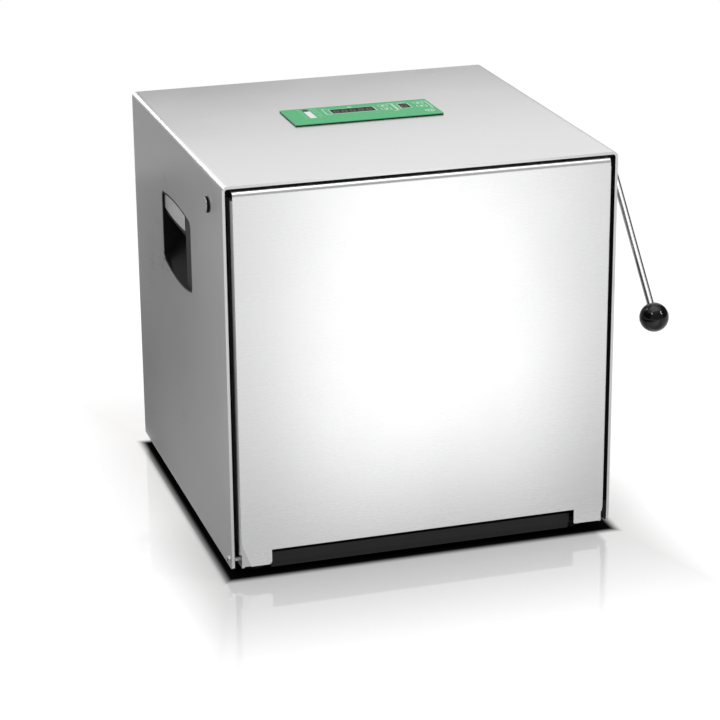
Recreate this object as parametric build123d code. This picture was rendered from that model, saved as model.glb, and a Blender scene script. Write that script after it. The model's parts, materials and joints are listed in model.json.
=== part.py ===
from build123d import *
from math import acos, atan2, cos, degrees, radians, sin, sqrt
import os

# Paddle blender homogenizer: two flat paddles beat a sample bag against the inner
# plate of a fold-down door. Millimetres. While the pieces are modelled, x = 0 is the
# middle of the housing, y = 0 its front edge and z = 0 the bench; X points right,
# Y to the back, Z up. At the end every piece is moved so that the origin is the
# middle of the whole object's footprint.

# Housing
housing_width = 440.0
housing_depth = 436.0
housing_height = 432.0        # cover alone, without the feet
cover_sheet = 3.0
cover_bend = 6.0              # outer radius of the folds along the top
cover_toe = 5.0               # rounding of the side walls' lower front corners
rear_return = 15.0            # width of the folded lip that the rear cover is screwed to
foot_height = 8.0
foot_radius = 15.0
foot_inset = 35.0             # foot axis from the housing's sides and rear
foot_front = 40.0             # y of the front feet
pan_drop = 6.0                # the base pan hangs this far below the cover
pan_sheet = 2.0
pan_side = 30.0               # height of the pan's side flanges
rail_front = 5.5              # y of the black rail that shows under the door
rail_step = 3.5               # its lower part stands back by this much
rail_low = 15.8
rail_high = 27.1

# Hinge line of the door
hinge_y = 12.5
hinge_rise = 7.7              # above the cover's lower edge
hinge_pin_radius = 3.0
hinge_head_radius = 4.5
hinge_head = 2.0

# Door
door_margin = 10.0            # outer skin inside the housing's sides
door_proud = 4.0              # skin stands in front of the housing's edge
door_top_gap = 3.0            # under the cover's top
skin_sheet = 1.5
skin_bend = 5.0
skin_return = 16.0            # depth of the folded strip along the skin's top
skin_rise = 20.5              # skin's bottom edge above the cover's lower edge
tab_width = 34.0
tab_bottom = 3.4              # tabs end this far above the cover's lower edge
tab_corner = 4.0
tab_clear = 2.0               # beside the tabs and round their swing
tab_lean = 10.5               # the left tab's outer edge leans in by this much
tab_lean_start = 14.0         # above the skin's flat bottom
tab_lean_turn = (1.5, 8.0)    # the lean's first, steeper stretch: in and down
tab_step = 2.0                # step in the right tab's outer edge
tab_step_height = 12.0        # above the tab's foot
tray_extra = 2.5              # the tray shows beside the skin on each side
tray_sheet = 1.5
tray_bend = 3.0
tray_back = 13.0              # y of the tray's rear face
tray_top_step = 4.0           # tray ends this far below the skin's flat top
tray_foot = 17.5              # tray's lower ends above the cover's lower edge
tray_raise = 1.5              # between the tabs its floor lies above the skin's bottom edge
leaf_sheet = 3.0
leaf_front = 2.0              # thickness of the leaf's flange behind the skin
leaf_inset = 0.5              # ear inside the skin's edge
leaf_eye = 6.0                # radius round the hinge pin
leaf_corner = 3.5
leaf_flange = 29.0            # width of the flange
leaf_arm = 28.0               # the leaf reaches this far up into the tray
leaf_slot = 0.1               # clearance in the tray's floor
pressure_reach = 40.0         # y of the plate that the bag is pressed against
pressure_sheet = 4.0
pressure_margin = 8.0         # between the plate and the chamber's walls
pressure_corner = 14.0
pressure_rim = 5.0            # rounding round the plate's face
gasket_width = 7.0
gasket_corner = 16.0
gasket_rim = 1.5              # gasket outside the chamber's mouth
gasket_gap = 0.3              # between the gasket and the front frame, door shut

# Front frame and bag chamber
frame_front = 17.0            # y of the front frame's face
frame_sheet = 2.0
chamber_margin = 19.0         # chamber inside the cover's side walls
chamber_floor = 44.0
chamber_headroom = 54.0       # chamber's ceiling below the cover's top sheet
chamber_back = 116.5
liner_sheet = 1.5
chamber_corner = 8.0

# Latch shaft, hooks and lever
latch_y = 65.7
latch_drop = 36.3             # below the cover's top
latch_radius = 6.0
bush_wall = 1.5
bush_length = 11.0
bush_flange = 2.75            # flange wider than the shaft's bush on each side
bush_proud = 2.2              # flange thickness, outside the cover
shaft_reach = 12.0            # shaft outside the right wall, inside the hub
cap_radius = 8.0
cap_thickness = 0.8
hook_thickness = 6.0
hook_margin = 15.0            # middle of the hook's thickness inside the side wall
hook_hub = 11.0
hook_reach = 31.0
hook_gap = 0.6                # between the nose and the strike pin
hook_angles = (4.0, 20.0, 52.0)   # nose's end, its root and the arm's top, above straight ahead
slot_clear = 3.5              # round the hook and the strike, in the front frame
strike_radius = 3.0
strike_ahead = 22.0           # strike pin in front of the latch shaft
strike_below = 3.0            # strike pin below the latch shaft
strike_eye = 7.0              # half height of the strike's plate
strike_sheet = 3.0
strike_foot = 2.0             # thickness where it is fixed to the door
strike_side = 1.2             # between the hook and the strike's plate
lever_out = 21.35             # lever's plane outside the right wall
lever_length = 184.9          # shaft axis to the centre of the ball
lever_tilt = 43.07            # degrees forwards from straight down
lever_radius = 4.0
lever_hub = 11.0
lever_hub_length = 23.6
rod_start = 3.0               # rod's inner end from the latch shaft's axis
rod_in_ball = 12.0            # depth of the ball's threaded hole
hub_gap = 0.3                 # between the hub and the bush
ball_radius = 16.0
ball_collar = 7.0
ball_collar_length = 4.0

# Paddles and their drive
paddle_side_gap = 4.0         # to the chamber's side wall
paddle_floor_gap = 6.0
paddle_top_gap = 9.0
paddle_front = 78.0           # y of the paddle's face at mid-stroke
paddle_thickness = 14.0
paddle_crown = 4.0
paddle_sheet = 3.0
paddle_gap = 8.0              # between the two paddles
paddle_corner = 12.0
paddle_edge = 3.0             # rounding round the paddle's face
rod_radius = 8.0
rod_spacing = 160.0           # between the two push rods of one paddle
crank_y = 250.0
crank_throw = 9.0             # the paddle's stroke is four times this
crank_pin = 5.0
crank_disc_radius = 28.0
crank_disc_thickness = 12.0
crank_disc_x = 52.0           # inner face of the crank disc
balance_width = 10.0          # balance weight outside the disc, opposite its pin
neck_radius = 10.0            # shaft where the disc is pressed on
link_thickness = 20.0
link_eye = 13.0
wrist_pin = 5.0
crosshead_depth = 20.0
crosshead_thickness = 24.0
crosshead_boss = 12.0         # radius of the boss that carries the wrist pin
crosshead_collar = 3.0        # collars round the rods stand out by this much
shaft_radius = 12.5
bearing_radius = 23.5
bearing_width = 12.0
bearing_x = 38.0              # middle of the bearing
rod_insert = 8.0              # push rod's end in the paddle's socket
rib_spacing = 50.0
seal_neck = 11.0              # radius of the seal in the chamber's wall
seal_flange = 14.0
seal_lip = 3.0
guide_length = 64.0
bush_outer = 14.0
guide_wall = 6.0
drive_plate_sheet = 8.0
drive_plate_half = 150.0
drive_plate_top = 330.0
drive_foot = 30.0
bearing_wall = 10.0           # bracket round the bearing
bracket_rise = 70.0           # half height of the bracket where it meets the plate
bracket_hole = 20.0
bracket_rib = 12.0
bush_collar = 4.0             # bush's collar wider than its barrel
bush_collar_length = 3.0
pulley_radius = 52.0
motor_pulley_radius = 18.0
pulley_face = 18.0            # width that the belt runs on
pulley_flange = 2.0
web_half = 3.0                # half thickness of the large pulley's web
web_holes = 6
belt_thickness = 3.0
belt_rib = 2.0                # depth of the belt's V ribs
belt_ribs = 4
motor_behind = 81.5           # motor's axis in front of the rear cover
motor_z = 100.0
motor_radius = 60.0
motor_length = 150.0
motor_start = 24.0            # x of the motor's pulley end
motor_bell = 18.0             # length of each end bell
motor_fins = 24
motor_shaft = 7.0

# Motor driver's board
driver_x = (-195.0, -65.0)
driver_behind = (156.5, 41.5) # its ends in front of the rear cover
driver_rise = 12.0            # above the pan, on stand-offs
sink_fins = 9
sink_pitch = 11.5

# Carrying handles, as they show on the side walls
handle_front = 150.0
handle_length = 140.0
handle_drop = 81.0            # recess's top below the cover's, at its ends
handle_height = 81.0
handle_low_bow = 7.5
handle_high_bow = 4.5
handle_corner = 9.0
cup_depth = 36.0
cup_wall = 2.5
cup_sink = 0.4                # cup's rim below the wall's outer face
cup_flange = 5.0              # flange behind the wall, wider than the recess
cup_land = 34.0               # nearly flush land at the front of the recess
cup_floor_rise = 42.0         # the floor slopes up by this much towards the machine
lip_drop = 26.0               # grip plate's lower edge below the recess's top
lip_below = 5.0               # the lip reaches this far below its plate
lip_bow = 2.0
lip_inset = 3.9               # lip's face below the wall's outer face
lip_thickness = 5.1
lip_plate = 1.5

# Control panel on the top
panel_left = 139.4            # from the housing's left side
panel_front = 213.4
panel_width = 175.2
panel_depth = 70.6
backing_sheet = 1.2
film_sheet = 0.8
panel_rim = 8.0               # panel wider than the hole under it, all round
key_columns = {"time": 258.0, "speed": 300.5}   # from the housing's left side
key_rows = {"up": 266.5, "down": 251.0}         # from its front edge
key_size = (13.0, 12.0)
start_key_offset = (2.5, -22.0)                 # from the speed keys' lower one
start_radius = 6.5
time_window = (219.9, 259.6, 51.0, 18.6)        # middle, width and depth
speed_window = (282.2, 260.2, 10.8, 19.4)
window_sink = 0.3             # displays below the film's face
key_clearance = 0.2
key_proud = 0.25
key_travel = 0.5
board_sheet = 1.6
board_drop = 4.0              # board below the cover's top sheet
board_inset = 4.0             # board smaller than the panel, all round
board_post = 6.5              # its posts from the panel's edges
switch_height = 3.5

# Rear
rear_sheet = 2.0
rear_inset = 2.5              # rear cover's outer face from the housing's rear edge
screw_radius = 4.0
screw_head = 2.4
screw_from_end = 40.0         # first and last screw of each side
vent_columns = (-80.0, 0.0, 80.0)
vent_rows = 9
vent_pitch = 14.0
vent_start = 250.0            # lowest row of slots
vent_size = (70.0, 4.0)
inlet_x = -150.0
inlet_z = 86.0
inlet_width = 30.0
inlet_height = 72.0
inlet_step = 2.0              # flange wider than the cut-out, all round
inlet_flange = 2.2            # flange thickness
inlet_depth = 30.0
socket_half = 12.0
socket_height = 16.0
socket_drop = 23.0            # its middle below the inlet's
socket_depth = 18.0
socket_slant = 4.0            # its two cut corners
blade_length = 12.0
drawer_size = (22.0, 12.0)
drawer_depth = 22.0
drawer_gap = 0.2
rocker_rise = 22.0            # middle of the rocker above the inlet's
rocker_half = 9.5
rocker_width = 12.4
rocker_well = 1.0             # well longer than the rocker at each end
rocker_pivot = 3.0            # its axle behind the rear cover's face
rocker_sink = 1.1             # its raised edges below the flange's face, when level
rocker_hollow = 1.2           # its middle lower than its edges
rocker_swing = 7.0            # degrees either side of level

# Fits
running = 0.05                # radial, a shaft in its bush
slide_gap = 0.5               # between flat faces that pass each other
belt_gap = 0.3

half_width = housing_width / 2
inner_half = half_width - cover_sheet
cover_bottom = foot_height + pan_drop
cover_top = cover_bottom + housing_height
inner_top = cover_top - cover_sheet
chamber_half = inner_half - chamber_margin
chamber_ceiling = inner_top - chamber_headroom
door_half = half_width - door_margin
tray_half = door_half + tray_extra
leaf_outside = door_half - leaf_inset
skin_top = inner_top - door_top_gap
skin_bottom = cover_bottom + skin_rise
hinge_z = cover_bottom + hinge_rise
latch_z = cover_top - latch_drop
strike_y = latch_y - strike_ahead
strike_z = latch_z - strike_below
shaft_end = half_width + shaft_reach
hook_x = inner_half - hook_margin
lever_x = half_width + lever_out
ball_y = latch_y - lever_length * sin(radians(lever_tilt))
ball_z = latch_z - lever_length * cos(radians(lever_tilt))
frame_back = frame_front + frame_sheet
liner_back = chamber_back + liner_sheet
paddle_width = chamber_half - paddle_side_gap - paddle_gap / 2
paddle_x = (paddle_gap + paddle_width) / 2
paddle_low = chamber_floor + paddle_floor_gap
paddle_high = chamber_ceiling - paddle_top_gap
crank_z = (paddle_low + paddle_high) / 2
paddle_back = paddle_front + paddle_thickness
rod_heights = (crank_z - rod_spacing / 2, crank_z + rod_spacing / 2)
link_x = crank_disc_x + crank_disc_thickness + slide_gap
crosshead_x = link_x + link_thickness + slide_gap
pan_bottom = foot_height
pan_floor = pan_bottom + pan_sheet
rear_face = housing_depth - rear_inset
rear_front = rear_face - rear_sheet
rear_end = rear_face + screw_head
rocker_z = inlet_z + rocker_rise
panel_top = cover_top + backing_sheet + film_sheet
handle_high = cover_top - handle_drop
handle_low = handle_high - handle_height
motor_y = rear_front - motor_behind
driver_y = (rear_front - driver_behind[0], rear_front - driver_behind[1])
start_key = (key_columns["speed"] + start_key_offset[0], key_rows["down"] + start_key_offset[1])
key_names = ("time_up", "time_down", "speed_up", "speed_down", "start_stop")

# Whole object's box, which fixes the origin
left_end = -half_width - bush_proud - cap_thickness
right_end = lever_x + ball_radius
front_end = ball_y - ball_radius
back_end = max(housing_depth, rear_end)
to_origin = Pos(-(left_end + right_end) / 2, -(front_end + back_end) / 2, 0)


def block(x, y, z):
    """Box between two limits along each axis."""
    middle = Pos(sum(x) / 2, sum(y) / 2, sum(z) / 2)
    return middle * Box(x[1] - x[0], y[1] - y[0], z[1] - z[0])


def round_x(radius, x, y, z):
    """Cylinder along X between the two values of x."""
    return Pos(sum(x) / 2, y, z) * Rot(0, 90, 0) * Cylinder(radius, x[1] - x[0])


def round_y(radius, x, y, z):
    """Cylinder along Y between the two values of y."""
    return Pos(x, sum(y) / 2, z) * Rot(90, 0, 0) * Cylinder(radius, y[1] - y[0])


def round_z(radius, x, y, z):
    """Upright cylinder between the two values of z."""
    return Pos(x, y, sum(z) / 2) * Cylinder(radius, z[1] - z[0])


def along_x(sketch, x):
    """Sketch of (y, z) carried from x[0] to x[1]."""
    return extrude(Plane.YZ.offset(x[0]) * sketch, amount=x[1] - x[0])


def along_y(sketch, y):
    """Sketch of (x, z) carried from y[0] to y[1]."""
    return extrude(Plane.XZ.offset(-y[1]) * sketch, amount=y[1] - y[0])


def along_z(sketch, z):
    """Sketch of (x, y) carried from z[0] to z[1]."""
    return extrude(Plane.XY.offset(z[0]) * sketch, amount=z[1] - z[0])


def area(u, v, corner=0.0):
    """Rectangle between two limits each way, with rounded corners if asked."""
    width, height = u[1] - u[0], v[1] - v[0]
    shape = RectangleRounded(width, height, corner) if corner else Rectangle(width, height)
    return Pos(sum(u) / 2, sum(v) / 2) * shape


def span(middle, width):
    """Two limits, half the width either side of the middle."""
    return (middle - width / 2, middle + width / 2)


def other_side(shape):
    """The same piece on the other side of the housing."""
    return mirror(shape, about=Plane.YZ)


def both(shape):
    """A piece and its mirror image."""
    return shape + other_side(shape)


def group(shapes):
    """Separate solids kept together as one piece of the parts list."""
    return Compound([solid for shape in shapes for solid in shape.solids()])


def both_areas(u, v):
    """The same rectangle on the right and on the left."""
    return area(u, v) + area((-u[1], -u[0]), v)


# ---- Housing ----

def arch(half, bottom, top, bend):
    """Outline of the folded cover seen from the front."""
    outline = area((-half, half), (bottom, top))
    return fillet(outline.vertices().group_by(Axis.Y)[-1], bend)


def handle_outline(grow=0.0):
    """Recess on the side wall: straight ends, bowed top and bottom, in (y, z)."""
    front, back = handle_front - grow, handle_front + handle_length + grow
    middle = (front + back) / 2
    low, high = handle_low - grow, handle_high + grow
    edges = [
        ThreePointArc((front, low), (middle, low - handle_low_bow), (back, low)),
        Line((back, low), (back, high)),
        ThreePointArc((back, high), (middle, high + handle_high_bow), (front, high)),
        Line((front, high), (front, low)),
    ]
    face = make_face(edges)
    return fillet(face.vertices(), handle_corner + min(grow, 0.0))


def panel_window():
    """Hole under the control panel, in (x, y)."""
    x = panel_left - half_width
    return area((x + panel_rim, x + panel_width - panel_rim),
                (panel_front + panel_rim, panel_front + panel_depth - panel_rim), 3.0)


def screw_places():
    """Screws of the rear cover: three up each side, in (x, z)."""
    column = inner_half - rear_return / 2
    heights = (cover_bottom + screw_from_end, (cover_bottom + cover_top) / 2, cover_top - screw_from_end)
    return [(side * column, height) for side in (-1, 1) for height in heights]


def housing_cover():
    outside = arch(half_width, cover_bottom, cover_top, cover_bend)
    inside = arch(inner_half, cover_bottom - 1, inner_top, cover_bend - cover_sheet)
    shell = along_y(outside, (0, housing_depth))
    toes = shell.edges().filter_by(Axis.X).group_by(Axis.Y)[0].sort_by(Axis.Z)[0:1]
    shell = fillet(toes, cover_toe) - along_y(inside, (-1, housing_depth + 1))
    opening = area((-inner_half + rear_return, inner_half - rear_return),
                   (cover_bottom - 2, inner_top - rear_return))
    lip = along_y(arch(inner_half, cover_bottom + pan_side, inner_top, cover_bend - cover_sheet) - opening,
                  (rear_front - pan_sheet, rear_front))
    shell += lip
    recess = along_x(handle_outline(), (inner_half - 1, half_width + 1))
    shell -= both(recess)
    shell -= round_x(latch_radius + bush_wall, (-half_width - 1, half_width + 1), latch_y, latch_z)
    shell -= round_x(hinge_pin_radius, (-half_width - 1, half_width + 1), hinge_y, hinge_z)
    shell -= along_z(panel_window(), (inner_top - 1, cover_top + 1))
    for x, z in screw_places():
        shell -= round_y(screw_radius / 2, x, (rear_front - pan_sheet - 1, rear_front + 1), z)
    return shell


def base_pan():
    side = inner_half
    wing = door_half - tab_width - tab_clear
    tab_swing = 2 * hinge_y + door_proud + tab_clear
    kick = rail_front + rail_step               # y of the rail's lower, recessed face
    floor = block((-side, side), (tab_swing, rear_front), (pan_bottom, pan_floor))
    floor += block((-wing, wing), (kick, tab_swing), (pan_bottom, pan_floor))
    rail = Polyline((kick, pan_bottom), (kick, rail_low), (rail_front, rail_low),
                    (rail_front, rail_high), (frame_front, rail_high), (frame_front, rail_high - pan_sheet),
                    (rail_front + pan_sheet, rail_high - pan_sheet),
                    (rail_front + pan_sheet, rail_low + pan_sheet),
                    (kick + pan_sheet, rail_low + pan_sheet),
                    (kick + pan_sheet, pan_bottom), close=True)
    floor += along_x(make_face(rail), (-wing, wing))
    flange = block((side - pan_sheet, side), (cover_toe, rear_front),
                   (cover_bottom + 1, pan_bottom + pan_side))
    flange += block((side - pan_sheet, side), (tab_swing, rear_front), (pan_bottom, cover_bottom + 1))
    flange -= round_x(hinge_pin_radius, (0, half_width), hinge_y, hinge_z)
    floor += both(flange)
    floor += block((-side, side), (rear_front - pan_sheet, rear_front), (pan_bottom, pan_bottom + pan_side))
    return floor


def foot(x, y):
    """Rubber foot, narrower towards the bench."""
    body = Pos(x, y, foot_height / 2) * Cone(foot_radius - 2.0, foot_radius, foot_height)
    return body - round_z(3.0, x, y, (-1, foot_height / 2))


def rear_cover():
    gap = 1.0
    plate = block((-inner_half + gap, inner_half - gap), (rear_front, rear_face),
                  (cover_bottom + gap, inner_top - gap))
    slot = SlotOverall(*vent_size)
    for column in vent_columns:
        for row in range(vent_rows):
            vent = Pos(column, vent_start + row * vent_pitch) * slot
            plate -= along_y(vent, (rear_front - 1, rear_face + 1))
    plate -= along_y(inlet_outline(0.0), (rear_front - 1, rear_face + 1))
    for x, z in screw_places():
        plate -= round_y(screw_radius / 2, x, (rear_front - 1, rear_face + 1), z)
    return plate


def cover_screws():
    """Six button-head screws through the rear cover."""
    screws = []
    for x, z in screw_places():
        head = round_y(screw_radius, x, (rear_face, rear_face + screw_head), z)
        head = fillet(head.edges().group_by(Axis.Y)[-1], 1.2)
        socket = Pos(x, z) * RegularPolygon(1.5, 6)
        head -= along_y(socket, (rear_face + 1.0, rear_face + screw_head + 1))
        shank = round_y(screw_radius / 2, x, (rear_front - pan_sheet - 2, rear_face), z)
        screws.append(head + shank)
    return group(screws)


# ---- Mains inlet with its switch ----

def inlet_outline(grow):
    """Cut-out for the inlet module, in (x, z)."""
    inset = 2 * (grow - inlet_step)
    return area(span(inlet_x, inlet_width + inset), span(inlet_z, inlet_height + inset), 2.0)


def inlet_socket():
    """Mouth of a three-pin appliance inlet, with its two slanted corners, in (x, z)."""
    left, right = span(inlet_x, 2 * socket_half)
    low, high = span(inlet_z - socket_drop, socket_height)
    return make_face(Polyline((left, low), (right, low), (right, high - socket_slant),
                              (right - socket_slant, high), (left + socket_slant, high),
                              (left, high - socket_slant), close=True))


def power_inlet():
    face = rear_face + inlet_flange
    outline = area(span(inlet_x, inlet_width), span(inlet_z, inlet_height), 3.0)
    body = along_y(outline, (rear_face, face))
    body += along_y(inlet_outline(0.0), (rear_face - inlet_depth, rear_face))
    floor = face - socket_depth
    body -= along_y(inlet_socket(), (floor, face + 1))
    for x, z in ((-7.0, -2.0), (7.0, -2.0), (0.0, 2.0)):
        blade = span(inlet_z - socket_drop + z, 4.0)
        body += block(span(inlet_x + x, 2.0), (floor - 1, floor + blade_length), blade)
    well = area(span(inlet_x, rocker_width + 0.6), span(rocker_z, 2 * (rocker_half + rocker_well)), 1.0)
    body -= along_y(well, (rear_face - 10.0, face + 1))
    width, height = drawer_size
    drawer = area(span(inlet_x, width + 2 * drawer_gap), span(inlet_z, height + 2 * drawer_gap))
    body -= along_y(drawer, (rear_face - drawer_depth, face + 1))
    return body


def fuse_drawer():
    """Slim drawer between the inlet and the switch, with a finger notch."""
    width, height = drawer_size
    face = rear_face + inlet_flange
    body = block(span(inlet_x, width), (rear_face - drawer_depth, face), span(inlet_z, height))
    notch = Pos(inlet_x, face, inlet_z - height / 2 + 1.0) * Sphere(2.5)
    return body - notch


def rocker_switch():
    """Rocker with two slanted faces, pressed at its lower end at rest."""
    pivot_y = rear_face - rocker_pivot
    face = rear_face + inlet_flange - rocker_sink
    low, high = span(rocker_z, 2 * rocker_half)
    back, draft = pivot_y - 1.0, 1.2
    outline = make_face(Polyline((face, low), (face - rocker_hollow, rocker_z), (face, high),
                                 (back, high - draft), (back - 2.5, rocker_z), (back, low + draft),
                                 close=True))
    body = along_x(outline, span(inlet_x, rocker_width))
    turned = Rotation(-rocker_swing, 0, 0)
    return Pos(0, pivot_y, rocker_z) * turned * Pos(0, -pivot_y, -rocker_z) * body


# ---- Carrying handles ----

def handle_cup(side):
    """Moulded cup behind the wall's cut-out: land in front, sloping floor, grip lip above."""
    low = handle_low - handle_low_bow
    high = handle_high + handle_high_bow
    front, back = handle_front, handle_front + handle_length
    face = half_width - cup_sink
    outside, shallow, deep, rear = face + 1, face - 2.2, face - 27.0, face - cup_depth
    outer = along_x(handle_outline(), (inner_half - cup_depth, face))
    outer += along_x(handle_outline(cup_flange), (inner_half - cup_wall, inner_half))
    hollow = along_x(handle_outline(-cup_wall), (rear, outside))
    section = make_face(Polyline((outside, low - 5), (outside, high + 5), (rear, high + 5),
                                 (rear, low + cup_floor_rise + 8.0), (deep, low + cup_floor_rise),
                                 (face, low + cup_wall), (face, low - 5), close=True))
    hollow &= along_y(section, (front - 5, back + 5))
    plan = make_face(Polyline((outside, front - 5), (face, front - 5), (shallow, front + cup_land),
                              (deep, front + cup_land + 6.0), (rear, front + cup_land + 12.0),
                              (rear, back + 5), (outside, back + 5), close=True))
    hollow &= along_z(plan, (low - 10, high + 10))
    lip_x = (half_width - lip_inset - lip_thickness, half_width - lip_inset)
    lip = block(lip_x, (front, back), (high - lip_drop - lip_below, high + 5))
    cup = outer - (hollow - lip)
    return cup if side > 0 else other_side(cup)


def grip_lip(side):
    """Satin plate on the face of the cup's lip, with a bowed lower edge."""
    top = handle_high + handle_high_bow + 5
    front, back = handle_front + cup_land + 2.0, handle_front + handle_length - cup_wall
    low = handle_high + handle_high_bow - lip_drop
    ends = low + lip_bow
    face = make_face([ThreePointArc((front, ends), ((front + back) / 2, low), (back, ends)),
                      Line((back, ends), (back, top)), Line((back, top), (front, top)),
                      Line((front, top), (front, ends))])
    plate = along_x(face, (half_width - lip_inset, half_width - lip_inset + lip_plate))
    plate &= along_x(handle_outline(-cup_wall), (half_width - lip_inset - 1, half_width))
    return plate if side > 0 else other_side(plate)


# ---- Control panel ----

def panel_point(x, y):
    """Point on the panel from the housing's left front corner."""
    return (x - half_width, y)


def key_outline(name, grow=0.0):
    """Outline of one key, in (x, y)."""
    if name == "start_stop":
        return Pos(*panel_point(*start_key)) * Circle(start_radius + grow)
    column, row = name.split("_")
    x, y = panel_point(key_columns[column], key_rows[row])
    return area(span(x, key_size[0] + 2 * grow), span(y, key_size[1] + 2 * grow), 2.0)


def window_outline(window, grow=0.0):
    """Outline of one display window, in (x, y)."""
    x, y = panel_point(window[0], window[1])
    return area(span(x, window[2] + 2 * grow), span(y, window[3] + 2 * grow))


def panel_sheet(z):
    """One layer of the panel with its holes for keys and displays."""
    x = panel_left - half_width
    sheet = area((x, x + panel_width), (panel_front, panel_front + panel_depth), 1.5)
    for name in key_names:
        sheet -= key_outline(name, key_clearance)
    for window in (time_window, speed_window):
        sheet -= window_outline(window)
    return along_z(sheet, z)


def control_backing():
    return panel_sheet((cover_top, cover_top + backing_sheet))


def control_overlay():
    return panel_sheet((cover_top + backing_sheet, panel_top))


def board_top():
    return inner_top - board_drop


def display(window):
    """Display module standing on the board, its face just below the overlay's."""
    return along_z(window_outline(window), (board_top(), panel_top - window_sink))


def control_board():
    x, y = panel_left - half_width, panel_front
    top, under = board_top(), board_top() - board_sheet
    outline = area((x + board_inset, x + panel_width - board_inset),
                   (y + board_inset, y + panel_depth - board_inset), 2.0)
    plate = along_z(outline, (under, top))
    for px in (x + board_post, x + panel_width - board_post):
        for py in (y + board_post, y + panel_depth - board_post):
            plate += round_z(2.3, px, py, (top, inner_top))
    for name in key_names:
        middle = key_outline(name).center()
        plate += block(span(middle.X, 6.0), span(middle.Y, 6.0), (top, top + switch_height))
        plate += round_z(1.7, middle.X, middle.Y, (top + switch_height, cover_top + 0.1))
    plate += block(span(x + 30.0, 14.0), span(y + panel_depth / 2, 14.0), (top, top + 2.0))
    plate += block(span(x + 55.0, 22.0), span(y + 16.0, 6.0), (under - 8.0, under))
    return plate


def key(name):
    """Key cap, a little proud of the film, over its switch."""
    low = cover_top + 0.15 + key_travel
    cap = along_z(key_outline(name), (low, panel_top + key_proud))
    return fillet(cap.edges().group_by(Axis.Z)[-1], 0.2)


# ---- Door ----

def skin_face():
    """Front of the door with its two tabs, in (x, z)."""
    low = cover_bottom + tab_bottom
    inner = door_half - tab_width
    lean_start = skin_bottom + tab_lean_start
    turn_in, turn_down = tab_lean_turn
    step_x, step_z = door_half - tab_step, low + tab_step_height
    points = [(-door_half, skin_top), (-door_half, lean_start),
              (-door_half + turn_in, lean_start - turn_down), (-door_half + tab_lean, low),
              (-inner, low), (-inner, skin_bottom), (inner, skin_bottom), (inner, low), (step_x, low),
              (step_x, step_z - tab_step), (door_half, step_z), (door_half, skin_top)]
    face = make_face(Polyline(*points, close=True))
    corners = face.vertices()
    left_foot = corners.sort_by_distance((-inner, low, 0))[0]
    right_foot = corners.sort_by_distance((step_x, low, 0))[0]
    face = fillet([left_foot, right_foot], tab_corner)
    near_foot = face.vertices().sort_by_distance((inner, low, 0))[0]
    return fillet(near_foot, tab_corner / 2)


def door_skin():
    """Outer sheet: flat front, tabs at its foot, top folded back over the tray."""
    front, bend, top = -door_proud, skin_bend, skin_top
    inner_bend = bend - skin_sheet
    low = cover_bottom
    end = front + skin_return
    section = make_face([
        Line((front, low), (front, top - bend)),
        RadiusArc((front, top - bend), (front + bend, top), bend),
        Line((front + bend, top), (end, top)),
        Line((end, top), (end, top - skin_sheet)),
        Line((end, top - skin_sheet), (front + bend, top - skin_sheet)),
        RadiusArc((front + bend, top - skin_sheet), (front + skin_sheet, top - bend), -inner_bend),
        Line((front + skin_sheet, top - bend), (front + skin_sheet, low)),
        Line((front + skin_sheet, low), (front, low)),
    ])
    sheet = along_x(section, (-door_half, door_half))
    return sheet & along_y(skin_face(), (front - 1, end + 1))


def tray_heights():
    """Lower and upper limits of the tray behind the door's skin."""
    return (cover_bottom + tray_foot, skin_top - skin_bend - tray_top_step)


def door_tray():
    """Folded tray behind the skin, closed by its four sides."""
    front = -door_proud + skin_sheet
    low, high = tray_heights()
    outer = block((-tray_half, tray_half), (front, tray_back), (low, high))
    outer = fillet(outer.edges().filter_by(Axis.Z).group_by(Axis.Y)[0], tray_bend)
    inner = block((-tray_half + tray_sheet, tray_half - tray_sheet), (front + tray_sheet, tray_back + 1),
                  (low + tray_sheet, high - tray_sheet))
    inner = fillet(inner.edges().filter_by(Axis.Z).group_by(Axis.Y)[0], tray_bend - tray_sheet)
    inner_tab = door_half - tab_width
    raised = skin_bottom + tray_raise
    step = block((-inner_tab, inner_tab), (front - 1, tray_back + 1), (low - 1, raised))
    floor_half = inner_tab + tray_sheet
    floor = block((-floor_half, floor_half), (front, tray_back), (low, raised + tray_sheet))
    tray = (outer - inner) + floor - step
    slot = block((leaf_outside - leaf_sheet - leaf_slot, tray_half - tray_sheet),
                 (front + tray_sheet, tray_back + 1), (low - 1, low + tray_sheet))
    return tray - both(slot)


def door_back_panel():
    """Inner sheet that closes the tray and carries the pressure plate and the strikes."""
    low, high = tray_heights()
    side = tray_half - tray_sheet
    floor_half = door_half - tab_width + tray_sheet
    plate = block((-side, side), (tray_back - tray_sheet, tray_back), (low + tray_sheet, high - tray_sheet))
    raised = skin_bottom + tray_raise + tray_sheet
    plate -= block((-floor_half, floor_half), (0, tray_back + 1), (low, raised))
    notch = block((leaf_outside - leaf_sheet, side + 1), (0, tray_back + 1), (low, low + leaf_arm + 2.0))
    return plate - both(notch)


def pressure_plate():
    """Deep pressed plate that backs the sample bag."""
    half = chamber_half - pressure_margin
    low, high = chamber_floor + pressure_margin, chamber_ceiling - pressure_margin
    outer = block((-half, half), (tray_back, pressure_reach), (low, high))
    outer = fillet(outer.edges().filter_by(Axis.Y), pressure_corner)
    outer = fillet(outer.faces().sort_by(Axis.Y)[-1].edges(), pressure_rim)
    wall = pressure_sheet
    inner = block((-half + wall, half - wall), (tray_back - 1, pressure_reach - wall),
                  (low + wall, high - wall))
    inner = fillet(inner.edges().filter_by(Axis.Y), pressure_corner - wall)
    return outer - inner


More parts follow.
